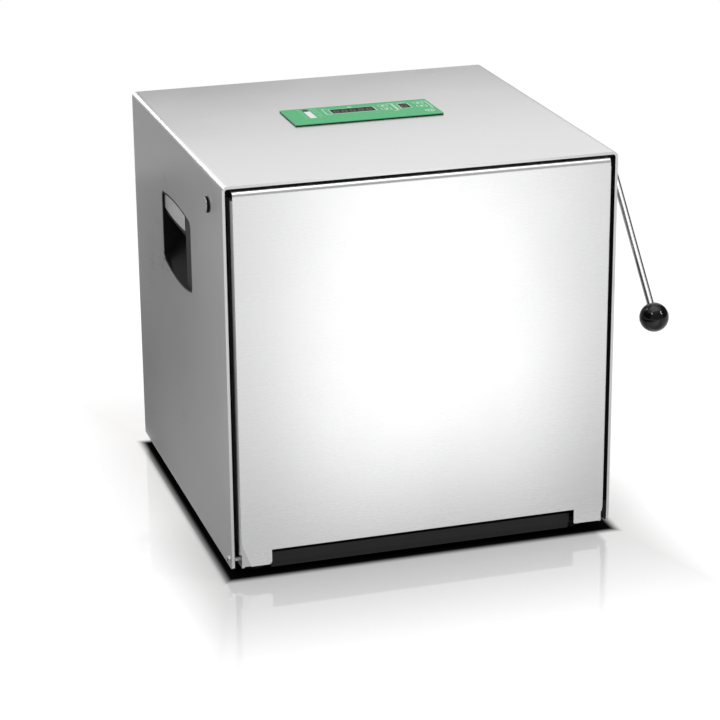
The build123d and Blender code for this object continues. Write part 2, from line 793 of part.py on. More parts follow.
def door_gasket():
    """Seal round the pressure plate, just clear of the front frame when the door is shut."""
    half_in = chamber_half + gasket_rim
    low_in, high_in = chamber_floor - gasket_rim, chamber_ceiling + gasket_rim
    outer = area((-half_in - gasket_width, half_in + gasket_width),
                 (low_in - gasket_width, high_in + gasket_width), gasket_corner)
    inner = area((-half_in, half_in), (low_in, high_in), gasket_corner - gasket_width)
    ring = along_y(outer - inner, (tray_back, frame_front - gasket_gap))
    return fillet(ring.faces().sort_by(Axis.Y)[-1].edges(), 1.2)


def hinge_leaf(side):
    """Angle behind one tab: a front flange and an ear with the hinge pin's eye."""
    front = -door_proud + skin_sheet
    low, tray_low = cover_bottom + tab_bottom, cover_bottom + tray_foot
    outside, eye_low = leaf_outside, hinge_z - leaf_eye
    ear_in = outside - leaf_sheet
    flange = area((outside - leaf_flange, outside), (low, tray_low))
    flange = fillet(flange.vertices().group_by(Axis.Y)[0], leaf_corner)
    leaf = along_y(flange, (front, front + leaf_front))
    ear = area((front, hinge_y), (eye_low, tray_low)) + Pos(hinge_y, hinge_z) * Circle(leaf_eye)
    ear += area(span(hinge_y, 2 * leaf_eye), (hinge_z, tray_low - 4.0))
    ear -= area((front - 1, front + 1), (eye_low - 1, eye_low + 1))
    leaf += along_x(ear, (ear_in, outside))
    arm_y = (front + tray_bend, tray_back - tray_sheet - 1.0)
    leaf += block((ear_in, tray_half - tray_sheet), arm_y, (tray_low + tray_sheet, tray_low + leaf_arm))
    leaf += block((ear_in, outside), arm_y, (tray_low - leaf_eye, tray_low + tray_sheet))
    leaf -= round_x(hinge_pin_radius + running, (ear_in - 1, outside + 3), hinge_y, hinge_z)
    return leaf if side > 0 else other_side(leaf)


def hinge_pins():
    """Two shouldered screws through the side walls, each carrying one leaf."""
    inner_end = leaf_outside - leaf_sheet - 2.0
    shank = round_x(hinge_pin_radius, (inner_end, half_width), hinge_y, hinge_z)
    head = round_x(hinge_head_radius, (half_width, half_width + hinge_head), hinge_y, hinge_z)
    head = fillet(head.edges().group_by(Axis.X)[-1], 1.2)
    socket = Pos(hinge_y, hinge_z) * RegularPolygon(2.0, 6)
    head -= along_x(socket, (half_width + 0.8, half_width + hinge_head + 1))
    return group([shank + head, other_side(shank + head)])


def strike(side):
    """Bracket on the door's inner sheet with the pin that a hook catches."""
    plate_in = hook_x + hook_thickness / 2 + strike_side
    plate_out = plate_in + strike_sheet
    pin_in = hook_x - hook_thickness / 2 - strike_side
    height = span(strike_z, 2 * strike_eye)
    profile = area((tray_back, strike_y), height) + Pos(strike_y, strike_z) * Circle(strike_eye)
    bracket = along_x(profile, (plate_in, plate_out))
    bracket += block((pin_in, plate_out), (tray_back, tray_back + strike_foot), height)
    bracket += round_x(strike_radius, (pin_in, plate_in), strike_y, strike_z)
    return bracket if side > 0 else other_side(bracket)


# ---- Front frame and chamber ----

def front_frame():
    """Painted frame behind the door, with the chamber's mouth and slots for the strikes."""
    wing = door_half - tab_width - tab_clear
    corner_rise = hinge_z + leaf_eye + 4.0
    slot_x = (hook_x - hook_thickness / 2 - slot_clear, tray_half)
    slot_z = (strike_z - strike_eye - slot_clear, strike_z + strike_eye + slot_clear + 1.5)
    outline = arch(inner_half, pan_floor, inner_top, cover_bend - cover_sheet)
    outline -= area((-chamber_half, chamber_half), (chamber_floor, chamber_ceiling), chamber_corner)
    outline -= both_areas((wing, inner_half - pan_sheet), (0, corner_rise))
    outline -= both_areas((inner_half - pan_sheet, inner_half + 1), (0, pan_bottom + pan_side))
    outline -= both_areas(slot_x, slot_z)
    return along_y(outline, (frame_front, frame_back))


def chamber_liner():
    """Stainless tub of the bag chamber, with holes for the four push rods."""
    sheet = liner_sheet
    outer = block((-chamber_half - sheet, chamber_half + sheet), (frame_back, liner_back),
                  (chamber_floor - sheet, chamber_ceiling + sheet))
    inner = block((-chamber_half, chamber_half), (frame_back - 1, chamber_back),
                  (chamber_floor, chamber_ceiling))
    inner = fillet(inner.edges().filter_by(Axis.Y), chamber_corner)
    tub = outer - inner
    for x in (-paddle_x, paddle_x):
        for z in rod_heights:
            tub -= round_y(seal_neck, x, (chamber_back - 1, liner_back + 1), z)
    return tub


def rod_seals():
    """Four wiper seals in the chamber's back wall, one round each push rod."""
    seals = []
    for x in (-paddle_x, paddle_x):
        for z in rod_heights:
            ring = round_y(seal_neck, x, (chamber_back, liner_back), z)
            collar = round_y(seal_flange, x, (chamber_back - seal_lip, chamber_back), z)
            ring += fillet(collar.edges().group_by(Axis.Y)[0], seal_lip / 2)
            bore = round_y(rod_radius + running, x, (chamber_back - seal_lip - 1, liner_back + 1), z)
            seals.append(ring - bore)
    return group(seals)


# ---- Latch ----

def latch_shaft():
    return round_x(latch_radius, (-half_width - bush_proud, shaft_end), latch_y, latch_z)


def latch_bushes():
    """Two flanged bushes in the side walls."""
    barrel = round_x(latch_radius + bush_wall, (half_width - bush_length, half_width), latch_y, latch_z)
    flange = round_x(latch_radius + bush_flange, (half_width, half_width + bush_proud), latch_y, latch_z)
    bush = barrel + fillet(flange.edges().group_by(Axis.X)[-1], 0.6)
    bush -= round_x(latch_radius + running, (0, half_width + 10), latch_y, latch_z)
    return group([bush, other_side(bush)])


def shaft_cap():
    """Steel cap on the shaft's left end."""
    cap = round_x(cap_radius, (left_end, left_end + cap_thickness), latch_y, latch_z)
    return fillet(cap.edges().group_by(Axis.X)[0], 0.4)


def sector(inner, outer, start, stop):
    """Part of a ring round the latch shaft; angles in degrees above straight ahead."""
    def at(radius, angle):
        return (latch_y - radius * cos(radians(angle)), latch_z + radius * sin(radians(angle)))
    middle = (start + stop) / 2
    edges = [ThreePointArc(at(outer, start), at(outer, middle), at(outer, stop)),
             Line(at(outer, stop), at(inner, stop)),
             ThreePointArc(at(inner, stop), at(inner, middle), at(inner, start)),
             Line(at(inner, start), at(outer, start))]
    return make_face(edges)


def hook(side):
    """Latch hook: a hub on the shaft, an arm over the strike pin and a nose before it."""
    mouth = strike_ahead + strike_radius + hook_gap
    low, turn, high = hook_angles
    profile = Pos(latch_y, latch_z) * Circle(hook_hub)
    profile += sector(hook_hub - 2.0, hook_reach, turn, high)
    profile += sector(mouth, hook_reach, low, turn + 2.0)
    plate = along_x(profile, span(hook_x, hook_thickness))
    plate -= round_x(latch_radius, span(hook_x, hook_thickness + 2), latch_y, latch_z)
    return plate if side > 0 else other_side(plate)


def lever_line():
    """Frame whose Z runs from the latch shaft down the lever."""
    towards = (0, -sin(radians(lever_tilt)), -cos(radians(lever_tilt)))
    return Plane(origin=(lever_x, latch_y, latch_z), x_dir=(1, 0, 0), z_dir=towards)


def down_lever(shape, start):
    """Shape moved down the lever, measured from the latch shaft."""
    return lever_line() * (Pos(0, 0, start) * shape)


def lever_rod():
    length = lever_length - ball_radius + rod_in_ball - rod_start
    return down_lever(Cylinder(lever_radius, length), rod_start + length / 2)


def lever_boss():
    """Hub outside the right wall, with a domed end where the rod screws in."""
    start = half_width + bush_proud + hub_gap
    end, dome = start + lever_hub_length, lever_hub
    section = make_face([
        Line((start, 0), (start, lever_hub)),
        Line((start, lever_hub), (end - dome, lever_hub)),
        EllipticalCenterArc((end - dome, 0), dome, lever_hub, start_angle=0, arc_size=90),
        Line((end, 0), (start, 0)),
    ])
    body = Pos(0, latch_y, latch_z) * revolve(section, axis=Axis.X)
    body -= round_x(latch_radius, (0, shaft_end), latch_y, latch_z)
    return body - lever_rod()


def ball_knob():
    ball = down_lever(Sphere(ball_radius), lever_length)
    collar = down_lever(Cylinder(ball_collar, ball_collar_length),
                        lever_length - ball_radius + ball_collar_length / 4)
    return ball + collar - lever_rod()


# ---- Drive ----

def drive_frame():
    """Plate behind the chamber with four guide tubes and two bearing brackets."""
    front, back = liner_back, liner_back + drive_plate_sheet
    plate = block((-drive_plate_half, drive_plate_half), (front, back), (pan_floor, drive_plate_top))
    plate = fillet(plate.edges().filter_by(Axis.Y).group_by(Axis.Z)[-1], 20.0)
    plate += block((-drive_plate_half, drive_plate_half), (back, back + drive_foot),
                   (pan_floor, pan_floor + drive_plate_sheet))
    tube = bush_outer + guide_wall
    for x in (-paddle_x, paddle_x):
        for z in rod_heights:
            plate += round_y(tube, x, (back, front + guide_length), z)
    eye = bearing_radius + bearing_wall
    root = span(crank_z, 2 * bracket_rise)
    corner = make_hull((Pos(crank_y, crank_z) * Circle(eye)).edges()
                       + Line((back, root[0]), (back, root[1])).edges())
    hole_near, hole_far = back + bracket_rise * 0.6, crank_y - eye - bracket_rib - bracket_hole / 2
    window = make_hull((Pos(hole_near, crank_z) * Circle(bracket_hole)).edges()
                       + (Pos(hole_far, crank_z) * Circle(bracket_hole * 0.6)).edges())
    bracket = along_x(corner - window, span(bearing_x, bearing_width))
    bracket -= round_x(bearing_radius, span(bearing_x, bearing_width + 2), crank_y, crank_z)
    plate += both(bracket)
    for x in (-paddle_x, paddle_x):
        for z in rod_heights:
            plate -= round_y(bush_outer, x, (front - 1, front + guide_length + 1), z)
    return plate


def guide_bushes():
    """Four bronze bushes that the push rods slide in."""
    bushes = []
    for x in (-paddle_x, paddle_x):
        for z in rod_heights:
            end = liner_back + guide_length
            barrel = round_y(bush_outer, x, (liner_back, end), z)
            barrel += round_y(bush_outer + bush_collar, x, (end, end + bush_collar_length), z)
            barrel -= round_y(rod_radius + running, x, (liner_back - 1, end + bush_collar_length + 1), z)
            bushes.append(barrel)
    return group(bushes)


def shaft_bearings():
    """Two ball bearings of the crankshaft, shown with their shield grooves."""
    ring = round_x(bearing_radius, span(bearing_x, bearing_width), crank_y, crank_z)
    ring -= round_x(shaft_radius + running, span(bearing_x, bearing_width + 2), crank_y, crank_z)
    groove = round_x(bearing_radius - 3.0, (0, 1.0), crank_y, crank_z)
    groove -= round_x(shaft_radius + 3.0, (0, 1.0), crank_y, crank_z)
    for face in (bearing_x - bearing_width / 2, bearing_x + bearing_width / 2 - 1.0):
        ring -= Pos(face, 0, 0) * groove
    return group([ring, other_side(ring)])


def crankshaft():
    end = crank_disc_x + crank_disc_thickness
    shaft = round_x(shaft_radius, (-crank_disc_x, crank_disc_x), crank_y, crank_z)
    return shaft + round_x(neck_radius, (-end, end), crank_y, crank_z)


def crank_disc(side):
    """Overhung crank: a disc with its pin, up on the left and down on the right."""
    pin_z = crank_z - side * crank_throw
    end = crank_disc_x + crank_disc_thickness
    disc = round_x(crank_disc_radius, (crank_disc_x, end), crank_y, crank_z)
    disc = chamfer(disc.edges().filter_by(GeomType.CIRCLE), 1.0)
    disc -= round_x(neck_radius, (crank_disc_x - 1, end + 1), crank_y, crank_z)
    heavy_radius = crank_disc_radius + balance_width
    heavy = Pos(crank_y, crank_z) * (Circle(heavy_radius) - Circle(crank_disc_radius - 1.5))
    away = (crank_z, crank_z + side * 2 * heavy_radius)
    half = area(span(crank_y, 2 * heavy_radius), (min(away), max(away)))
    disc += along_x(heavy & half, (crank_disc_x + 2.0, end - 2.0))
    pin = round_x(crank_pin, (end - 4.0, link_x + link_thickness / 2 - 1.0), crank_y, pin_z)
    disc += pin - round_x(neck_radius, (end - 5.0, end), crank_y, crank_z)
    return disc if side > 0 else other_side(disc)


def link(side):
    """Short connecting rod: crank pin's eye on its inner face, wrist pin's on its outer."""
    pin_z = crank_z - side * crank_throw
    outline = make_hull((Pos(crank_y, pin_z) * Circle(link_eye)).edges()
                        + (Pos(crank_y, crank_z) * Circle(link_eye)).edges())
    body = along_x(outline, (link_x, link_x + link_thickness))
    half = link_x + link_thickness / 2
    body -= round_x(crank_pin + running, (link_x - 1, half - 0.5), crank_y, pin_z)
    body -= round_x(wrist_pin + running, (half + 0.5, link_x + link_thickness + 1), crank_y, crank_z)
    return body if side > 0 else other_side(body)


def crosshead(side):
    """Beam across the two push rods, with the wrist pin that the link turns on."""
    x = span(paddle_x, crosshead_thickness)
    profile = area(span(crank_y, crosshead_depth), span(crank_z, rod_spacing + 4 * rod_radius), 5.0)
    profile += Pos(crank_y, crank_z) * Circle(crosshead_boss + 5.0)
    beam = along_x(profile, x)
    beam += round_x(crosshead_boss, (crosshead_x, x[0]), crank_y, crank_z)
    beam += round_x(wrist_pin, (link_x + link_thickness / 2 + 1.0, crosshead_x), crank_y, crank_z)
    for z in rod_heights:
        collar = crosshead_depth + 2 * crosshead_collar
        beam += round_y(rod_radius + 5.0, paddle_x, span(crank_y, collar), z)
        beam -= round_y(rod_radius, paddle_x, span(crank_y, collar + 2), z)
    return beam if side > 0 else other_side(beam)


def push_rods(side):
    """Two ground rods from the paddle to the crosshead."""
    rods = []
    end = crank_y + crosshead_depth / 2 + 2 * crosshead_collar
    for z in rod_heights:
        rod = round_y(rod_radius, side * paddle_x, (paddle_back - rod_insert, end), z)
        rods.append(chamfer(rod.edges().filter_by(GeomType.CIRCLE).group_by(Axis.Y)[-1], 1.0))
    return group(rods)


def paddle(side):
    """Beating paddle: crowned face, rounded all round, sockets for the rods behind."""
    x0, x1 = span(paddle_x, paddle_width)
    edge = paddle_front + paddle_crown
    outline = make_face([ThreePointArc((x0, edge), (paddle_x, paddle_front), (x1, edge)),
                         Line((x1, edge), (x1, paddle_back)), Line((x1, paddle_back), (x0, paddle_back)),
                         Line((x0, paddle_back), (x0, edge))])
    body = along_z(outline, (paddle_low, paddle_high))
    body = fillet(body.edges().filter_by(Axis.Y), paddle_corner)
    front = body.faces().sort_by(Axis.Y)[0]
    body = fillet(front.edges(), paddle_edge)
    wall = paddle_sheet
    x = (x0 + wall, x1 - wall)
    z = (paddle_low + wall, paddle_high - wall)
    hollow = block(x, (edge + wall, paddle_back + 1), z)
    hollow = fillet(hollow.edges().filter_by(Axis.Y), paddle_corner - wall)
    for rib in (-1, 0, 1):
        hollow -= block(span(paddle_x + rib * rib_spacing, wall), (paddle_front, paddle_back), z)
    for height in rod_heights:
        hollow -= block(x, (paddle_front, paddle_back), span(height, wall))
        hollow -= round_y(rod_radius + 6.0, paddle_x, (paddle_front, paddle_back), height)
    body -= hollow
    for height in rod_heights:
        body -= round_y(rod_radius, paddle_x, (paddle_back - rod_insert, paddle_back + 1), height)
    return body if side > 0 else other_side(body)


def rib_profile(radius):
    """Grooved rim in (radius, x): V ribs side by side along the pulley's face."""
    pitch = pulley_face / belt_ribs
    points = [(radius, -pulley_face / 2)]
    for rib in range(belt_ribs):
        x = -pulley_face / 2 + rib * pitch
        points += [(radius - belt_rib, x + pitch / 2), (radius, x + pitch)]
    return points


def grooved_pulley(radius, y, z, bore):
    """Poly-V pulley with flanges, turned about X."""
    rim = [(x, r) for r, x in rib_profile(radius)]
    end, outside = pulley_face / 2, radius + pulley_flange
    far = end + pulley_flange
    points = [(-far, bore), (-far, outside), (-end, outside), *rim]
    points += [(end, outside), (far, outside), (far, bore)]
    section = make_face(Polyline(*points, close=True))
    return Pos(0, y, z) * revolve(section, axis=Axis.X)


def crank_pulley():
    pulley = grooved_pulley(pulley_radius, crank_y, crank_z, shaft_radius)
    width = pulley_face + 2 * pulley_flange
    web = round_x(pulley_radius - 8.0, (web_half, width), crank_y, crank_z)
    web -= round_x(shaft_radius + 8.0, (web_half - 1, width + 1), crank_y, crank_z)
    pulley -= both(web)
    circle = (pulley_radius + shaft_radius) / 2
    for hole in range(web_holes):
        angle = radians(hole * 360 / web_holes)
        pulley -= round_x(7.0, (-width, width), crank_y + circle * cos(angle), crank_z + circle * sin(angle))
    return pulley


def motor_pulley():
    return grooved_pulley(motor_pulley_radius, motor_y, motor_z, motor_shaft)


def belt_section(radius):
    """Belt's cross-section in (radius, x): flat outside, V ribs that run in the grooves."""
    width = pulley_face / 2
    back = radius + belt_thickness
    points = [(back, -width), *rib_profile(radius), (back, width)]
    return make_face(Polyline(*points, close=True))


def drive_belt():
    """Ribbed belt round both pulleys, a hair clear of them: two arcs and two straight runs."""
    near, far = (crank_y, crank_z), (motor_y, motor_z)
    near_radius, far_radius = pulley_radius + belt_gap, motor_pulley_radius + belt_gap
    run = Vector(far[0] - near[0], far[1] - near[1])
    lean = degrees(atan2(run.Y, run.X))
    wrap = degrees(acos((near_radius - far_radius) / run.length))
    straight = sqrt(run.length ** 2 - (near_radius - far_radius) ** 2)

    def cut(centre, radius, angle):
        """Section standing across the belt at one angle round a pulley."""
        out = (0, cos(radians(angle)), sin(radians(angle)))
        forward = (0, -out[2], out[1])
        return Plane(origin=(0, *centre), x_dir=out, z_dir=forward) * belt_section(radius)

    axis_near = Axis((0, *near), (1, 0, 0))
    axis_far = Axis((0, *far), (1, 0, 0))
    belt = revolve(cut(near, near_radius, lean + wrap), axis=axis_near, revolution_arc=360 - 2 * wrap)
    belt += revolve(cut(far, far_radius, lean - wrap), axis=axis_far, revolution_arc=2 * wrap)
    belt += extrude(cut(near, near_radius, lean - wrap), amount=straight)
    belt += extrude(cut(near, near_radius, lean + wrap), amount=-straight)
    return belt


def motor():
    """Geared drive motor on its saddle: finned body, end bells and terminal box."""
    start, end = motor_start, motor_start + motor_length
    bell = motor_bell
    body = round_x(motor_radius - 4.0, (start, end), motor_y, motor_z)
    body += round_x(motor_radius, (start, start + bell), motor_y, motor_z)
    body += round_x(motor_radius, (end - bell, end), motor_y, motor_z)
    body = chamfer(body.edges().filter_by(GeomType.CIRCLE).group_by(Axis.X)[-1], 5.0)
    fin = block((start + bell, end - bell), span(0, 2.0), (motor_radius - 6.0, motor_radius - 0.5))
    for step in range(motor_fins):
        body += Pos(0, motor_y, motor_z) * Rot(step * 360 / motor_fins, 0, 0) * fin
    for x in (start + 30.0, end - 42.0):
        saddle = block((x, x + 12.0), span(motor_y, 100.0), (pan_floor, motor_z))
        saddle -= round_x(motor_radius - 8.0, (x - 1, x + 13.0), motor_y, motor_z)
        body += saddle
    roof = motor_z + motor_radius
    box = block(span((start + end) / 2, 60.0), span(motor_y, 50.0), (roof - 10.0, roof + 22.0))
    body += fillet(box.edges().filter_by(Axis.Z), 4.0)
    body += round_x(20.0, (start - 4.0, start), motor_y, motor_z)
    body -= round_x(motor_shaft + running, (start - 5.0, end - 10.0), motor_y, motor_z)
    return body


def motor_shaft_piece():
    start = -pulley_face / 2 - 4.0
    return round_x(motor_shaft, (start, motor_start + motor_length - 12.0), motor_y, motor_z)


def power_board():
    """Motor driver on stand-offs, with heat sink, capacitors and choke."""
    x, y = driver_x, driver_y
    level = pan_floor + driver_rise
    plate = block(x, y, (level, level + board_sheet))
    for px in (x[0] + 6, x[1] - 6):
        for py in (y[0] + 6, y[1] - 6):
            plate += round_z(3.0, px, py, (pan_floor, level))
    top = level + board_sheet
    for step in range(3):
        plate += round_z(11.0, x[0] + 20.0 + step * 26.0, y[0] + 20.0, (top, top + 38.0))
    sink_z = (top, top + 45.0)
    plate += block((x[0] + 10.0, x[1] - 20.0), (y[1] - 24.0, y[1] - 20.0), sink_z)
    for step in range(sink_fins):
        px = x[0] + 12.0 + step * sink_pitch
        plate += block((px, px + 2.0), (y[1] - 20.0, y[1] - 6.0), sink_z)
    plate += round_z(15.0, x[1] - 24.0, y[0] + 45.0, (top, top + 16.0))
    return plate


def pieces():
    """Every node of the object, by name."""
    parts = {
        "housing_cover": housing_cover(),
        "rear_cover": rear_cover(),
        "cover_screws": cover_screws(),
        "base_pan": base_pan(),
        "front_frame": front_frame(),
        "chamber_liner": chamber_liner(),
        "rod_seals": rod_seals(),
        "drive_frame": drive_frame(),
        "guide_bushes": guide_bushes(),
        "shaft_bearings": shaft_bearings(),
        "latch_bushes": latch_bushes(),
        "hinge_pins": hinge_pins(),
        "control_backing": control_backing(),
        "control_overlay": control_overlay(),
        "control_board": control_board(),
        "display_modules": group([display(time_window), display(speed_window)]),
        "strikes": group([strike(-1), strike(1)]),
        "crank_discs": group([crank_disc(-1), crank_disc(1)]),
        "motor": motor(),
        "drive_belt": drive_belt(),
        "power_board": power_board(),
        "power_inlet": power_inlet(),
        "fuse_drawer": fuse_drawer(),
        "rocker_switch": rocker_switch(),
        "door_skin": door_skin(),
        "door_tray": door_tray(),
        "door_back_panel": door_back_panel(),
        "pressure_plate": pressure_plate(),
        "door_gasket": door_gasket(),
        "latch_shaft": latch_shaft(),
        "shaft_cap": shaft_cap(),
        "lever_hub": lever_boss(),
        "lever_rod": lever_rod(),
        "ball_knob": ball_knob(),
        "crankshaft": crankshaft(),
        "crank_pulley": crank_pulley(),
        "motor_shaft": motor_shaft_piece(),
        "motor_pulley": motor_pulley(),
    }
    for place, side in (("left", -1), ("right", 1)):
        parts["handle_cup_" + place] = handle_cup(side)
        parts["grip_lip_" + place] = grip_lip(side)
        parts["hinge_leaf_" + place] = hinge_leaf(side)
        parts["hook_" + place] = hook(side)
        parts["link_" + place] = link(side)
        parts["crosshead_" + place] = crosshead(side)
        parts["push_rods_" + place] = push_rods(side)
        parts["paddle_" + place] = paddle(side)
    for name in key_names:
        parts["key_" + name] = key(name)
    feet = []
    for x in (-half_width + foot_inset, half_width - foot_inset):
        for y in (foot_front, housing_depth - foot_inset):
            feet.append(foot(x, y))
    parts["rubber_feet"] = group(feet)
    return parts


os.makedirs("parts", exist_ok=True)
for node, shape in pieces().items():
    export_step(to_origin * shape, f"parts/{node}.step")
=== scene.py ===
import json
import math

import bpy
import numpy as np
from mathutils import Matrix, Vector


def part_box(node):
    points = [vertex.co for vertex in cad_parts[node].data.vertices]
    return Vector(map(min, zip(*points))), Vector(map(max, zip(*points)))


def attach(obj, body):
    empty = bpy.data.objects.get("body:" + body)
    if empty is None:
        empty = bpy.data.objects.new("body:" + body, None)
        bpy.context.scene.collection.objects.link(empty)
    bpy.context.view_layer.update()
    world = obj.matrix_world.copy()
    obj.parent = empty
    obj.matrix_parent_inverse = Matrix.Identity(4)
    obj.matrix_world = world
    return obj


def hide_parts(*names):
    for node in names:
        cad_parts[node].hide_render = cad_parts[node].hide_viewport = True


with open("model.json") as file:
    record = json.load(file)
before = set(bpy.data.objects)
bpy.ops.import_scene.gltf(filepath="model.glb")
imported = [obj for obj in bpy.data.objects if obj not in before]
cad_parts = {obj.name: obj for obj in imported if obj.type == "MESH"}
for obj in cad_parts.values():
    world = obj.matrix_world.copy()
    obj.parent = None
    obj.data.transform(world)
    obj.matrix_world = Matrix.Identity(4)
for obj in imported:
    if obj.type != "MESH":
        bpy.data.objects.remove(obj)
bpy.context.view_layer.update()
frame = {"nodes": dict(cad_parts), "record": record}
print("frame loaded:", len(frame["nodes"]), "pieces of the machine")

mm = 0.001


def meshObject(name, points, faces, material):
    # One mesh object whose place is in its vertices.
    mesh = bpy.data.meshes.new(name)
    places = np.asarray(points, float).reshape(-1, 3).tolist()
    mesh.from_pydata(places, [], [list(map(int, face)) for face in faces])
    mesh.materials.append(material)
    made = bpy.data.objects.new(name, mesh)
    bpy.context.scene.collection.objects.link(made)
    return made


def meshPiece(name, points, faces, material, body):
    # A piece of the machine, riding on one of its bodies.
    piece = meshObject(name, points, faces, material)
    piece.data.validate()
    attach(piece, body)
    return piece


def stageMesh(name, points, faces, material):
    # A part of the studio, which doesn't belong to the machine.
    made = meshObject(name, points, faces, material)
    return made


def gridFaces(rows, columns, closed=True):
    # Four-cornered faces between neighbouring points of a rows x columns grid.
    spans = columns if closed else columns - 1
    row, column = np.meshgrid(np.arange(rows - 1), np.arange(spans), indexing="ij")
    after = (column + 1) % columns
    this, following = row * columns, (row + 1) * columns
    corners = [this + column, this + after, following + after, following + column]
    return np.stack(corners, -1).reshape(-1, 4)


def joined(parts):
    # Several (points, faces) shells put into one list of points and one list of faces.
    points, faces, start = [], [], 0
    for shellPoints, shellFaces in parts:
        points.append(shellPoints)
        faces += [[start + corner for corner in face] for face in shellFaces]
        start += len(shellPoints)
    return np.concatenate(points), faces


def plate(outline, low, high):
    # Flat plate: the outline (x, y) at two heights, walls between them and a face at each end.
    count = len(outline)
    ring = np.asarray(outline, float)
    points = np.concatenate([np.column_stack([ring, np.full(count, z)]) for z in (low, high)])
    faces = gridFaces(2, count).tolist() + [list(range(count))[::-1], list(range(count, 2 * count))]
    return points, faces


def roundedBox(x, y, radius, steps=6):
    # Rectangle with quarter circles at its corners, anticlockwise.
    angle = np.linspace(0, math.pi / 2, steps)
    corners = [(x[1] - radius, y[1] - radius, 0), (x[0] + radius, y[1] - radius, 1),
               (x[0] + radius, y[0] + radius, 2), (x[1] - radius, y[0] + radius, 3)]
    arcs = [np.column_stack([cx + radius * np.cos(angle + turn * math.pi / 2),
                             cy + radius * np.sin(angle + turn * math.pi / 2)]) for cx, cy, turn in corners]
    return np.concatenate(arcs)


def ribbon(path, width, low, high, closed=True):
    # Printed line: the path (x, y) pushed half the width to either side along its normals.
    path = np.asarray(path, float)
    if closed:
        along = np.roll(path, -1, 0) - np.roll(path, 1, 0)
    else:
        along = np.gradient(path, axis=0)
    along /= np.linalg.norm(along, axis=1)[:, None]
    normal = np.column_stack([-along[:, 1], along[:, 0]]) * width / 2
    section = [(path - normal, low), (path + normal, low), (path + normal, high), (path - normal, high)]
    edges = [np.column_stack([edge, np.full(len(path), z)]) for edge, z in section]
    points = np.stack(edges, 1).reshape(-1, 3)
    rows = len(path)
    faces = gridFaces(rows, 4)[:, ::-1].tolist()
    if closed:
        last = (rows - 1) * 4
        faces += [[last + k, k, (k + 1) % 4, last + (k + 1) % 4] for k in range(4)]
    else:
        faces += [[0, 1, 2, 3], [4 * rows - 1, 4 * rows - 2, 4 * rows - 3, 4 * rows - 4]]
    return points, faces


def addNode(tree, kind, inputs=None, **settings):
    # Shader node with its settings; each input is a value or the socket that feeds it.
    made = tree.nodes.new("ShaderNode" + kind)
    for key, value in settings.items():
        setattr(made, key, value)
    for key, value in (inputs or {}).items():
        if isinstance(value, bpy.types.NodeSocket):
            tree.links.new(value, made.inputs[key])
        else:
            made.inputs[key].default_value = value
    return made


def startMaterial(name, colour, metallic=0.0, roughness=0.5, **sockets):
    # Principled shader with its even values on its own sockets.
    material = bpy.data.materials.new(name)
    material.use_nodes = True
    shader = material.node_tree.nodes["Principled BSDF"]
    shader.inputs["Base Color"].default_value = (*colour, 1)
    shader.inputs["Metallic"].default_value = metallic
    shader.inputs["Roughness"].default_value = roughness
    for key, value in sockets.items():
        shader.inputs[key].default_value = value
    return material, material.node_tree, shader


def pattern(tree, scale, detail=2.0, roughness=0.5, offset=(0, 0, 0)):
    # Noise on the object's own coordinates; scale is in waves per metre, alike or along x, y and z.
    waves = scale if isinstance(scale, tuple) else (scale,) * 3
    place = addNode(tree, "TexCoord").outputs["Object"]
    mapped = addNode(tree, "Mapping", {"Vector": place, "Scale": waves, "Location": offset})
    made = addNode(tree, "TexNoise", {"Vector": mapped.outputs[0], "Scale": 1.0, "Detail": detail,
                                      "Roughness": roughness})
    return made.outputs[0]


def between(tree, value, low, high, start=0.3, end=0.7):
    # A pattern's middle range, from start to end, spread from low to high.
    return addNode(tree, "MapRange", {"Value": value, "From Min": start, "From Max": end,
                                      "To Min": low, "To Max": high}).outputs[0]


def tint(tree, value, colour, darker, lighter):
    # Colour made a little darker or lighter by a pattern.
    ramp = addNode(tree, "Mix", data_type="RGBA")
    tree.links.new(value, ramp.inputs["Factor"])
    ramp.inputs["A"].default_value = (*[c * darker for c in colour], 1)
    ramp.inputs["B"].default_value = (*[min(1, c * lighter) for c in colour], 1)
    return ramp.outputs["Result"]


def bump(tree, shader, height, strength, depth):
    made = addNode(tree, "Bump", {"Height": height, "Strength": strength, "Distance": depth})
    tree.links.new(made.outputs[0], shader.inputs["Normal"])


def skinned(name, colour, metallic, roughness, shade, level, relief, **sockets):
    # Finish with three patterns: shade (pattern, darker, lighter) for the colour, level (pattern,
    # lowest, highest) for the roughness and relief (pattern, strength, depth) for the bump.
    material, tree, shader = startMaterial(name, colour, metallic, roughness, **sockets)
    made = {}

    def drawn(settings):
        if settings not in made:
            made[settings] = pattern(tree, *settings)
        return made[settings]

    colours = tint(tree, between(tree, drawn(shade[0]), 0, 1), colour, *shade[1:])
    tree.links.new(colours, shader.inputs["Base Color"])
    tree.links.new(between(tree, drawn(level[0]), *level[1:]), shader.inputs["Roughness"])
    if relief:
        bump(tree, shader, drawn(relief[0]), *relief[1:])
    return material


brush = {
    "coarser": 7,             # the broad lines are this many times as wide as the fine ones
    "longer": 0.5,            # and this share as many along the grain
    "broadShare": 0.25,
    "shades": (0.98, 1.01),
    "clouds": (7, 3.0, 0.6),
    "cloudy": (-0.015, 0.02),      # added to the roughness
    "spread": 0.014,
    "sideFacing": 0.7,        # share of x in the normal from which a face is a side wall
    "grainCross": (0, 0.05, 1),    # crossed with a face's normal, it gives the way of the grain
    "relief": (0.02, 0.05 * mm),
}


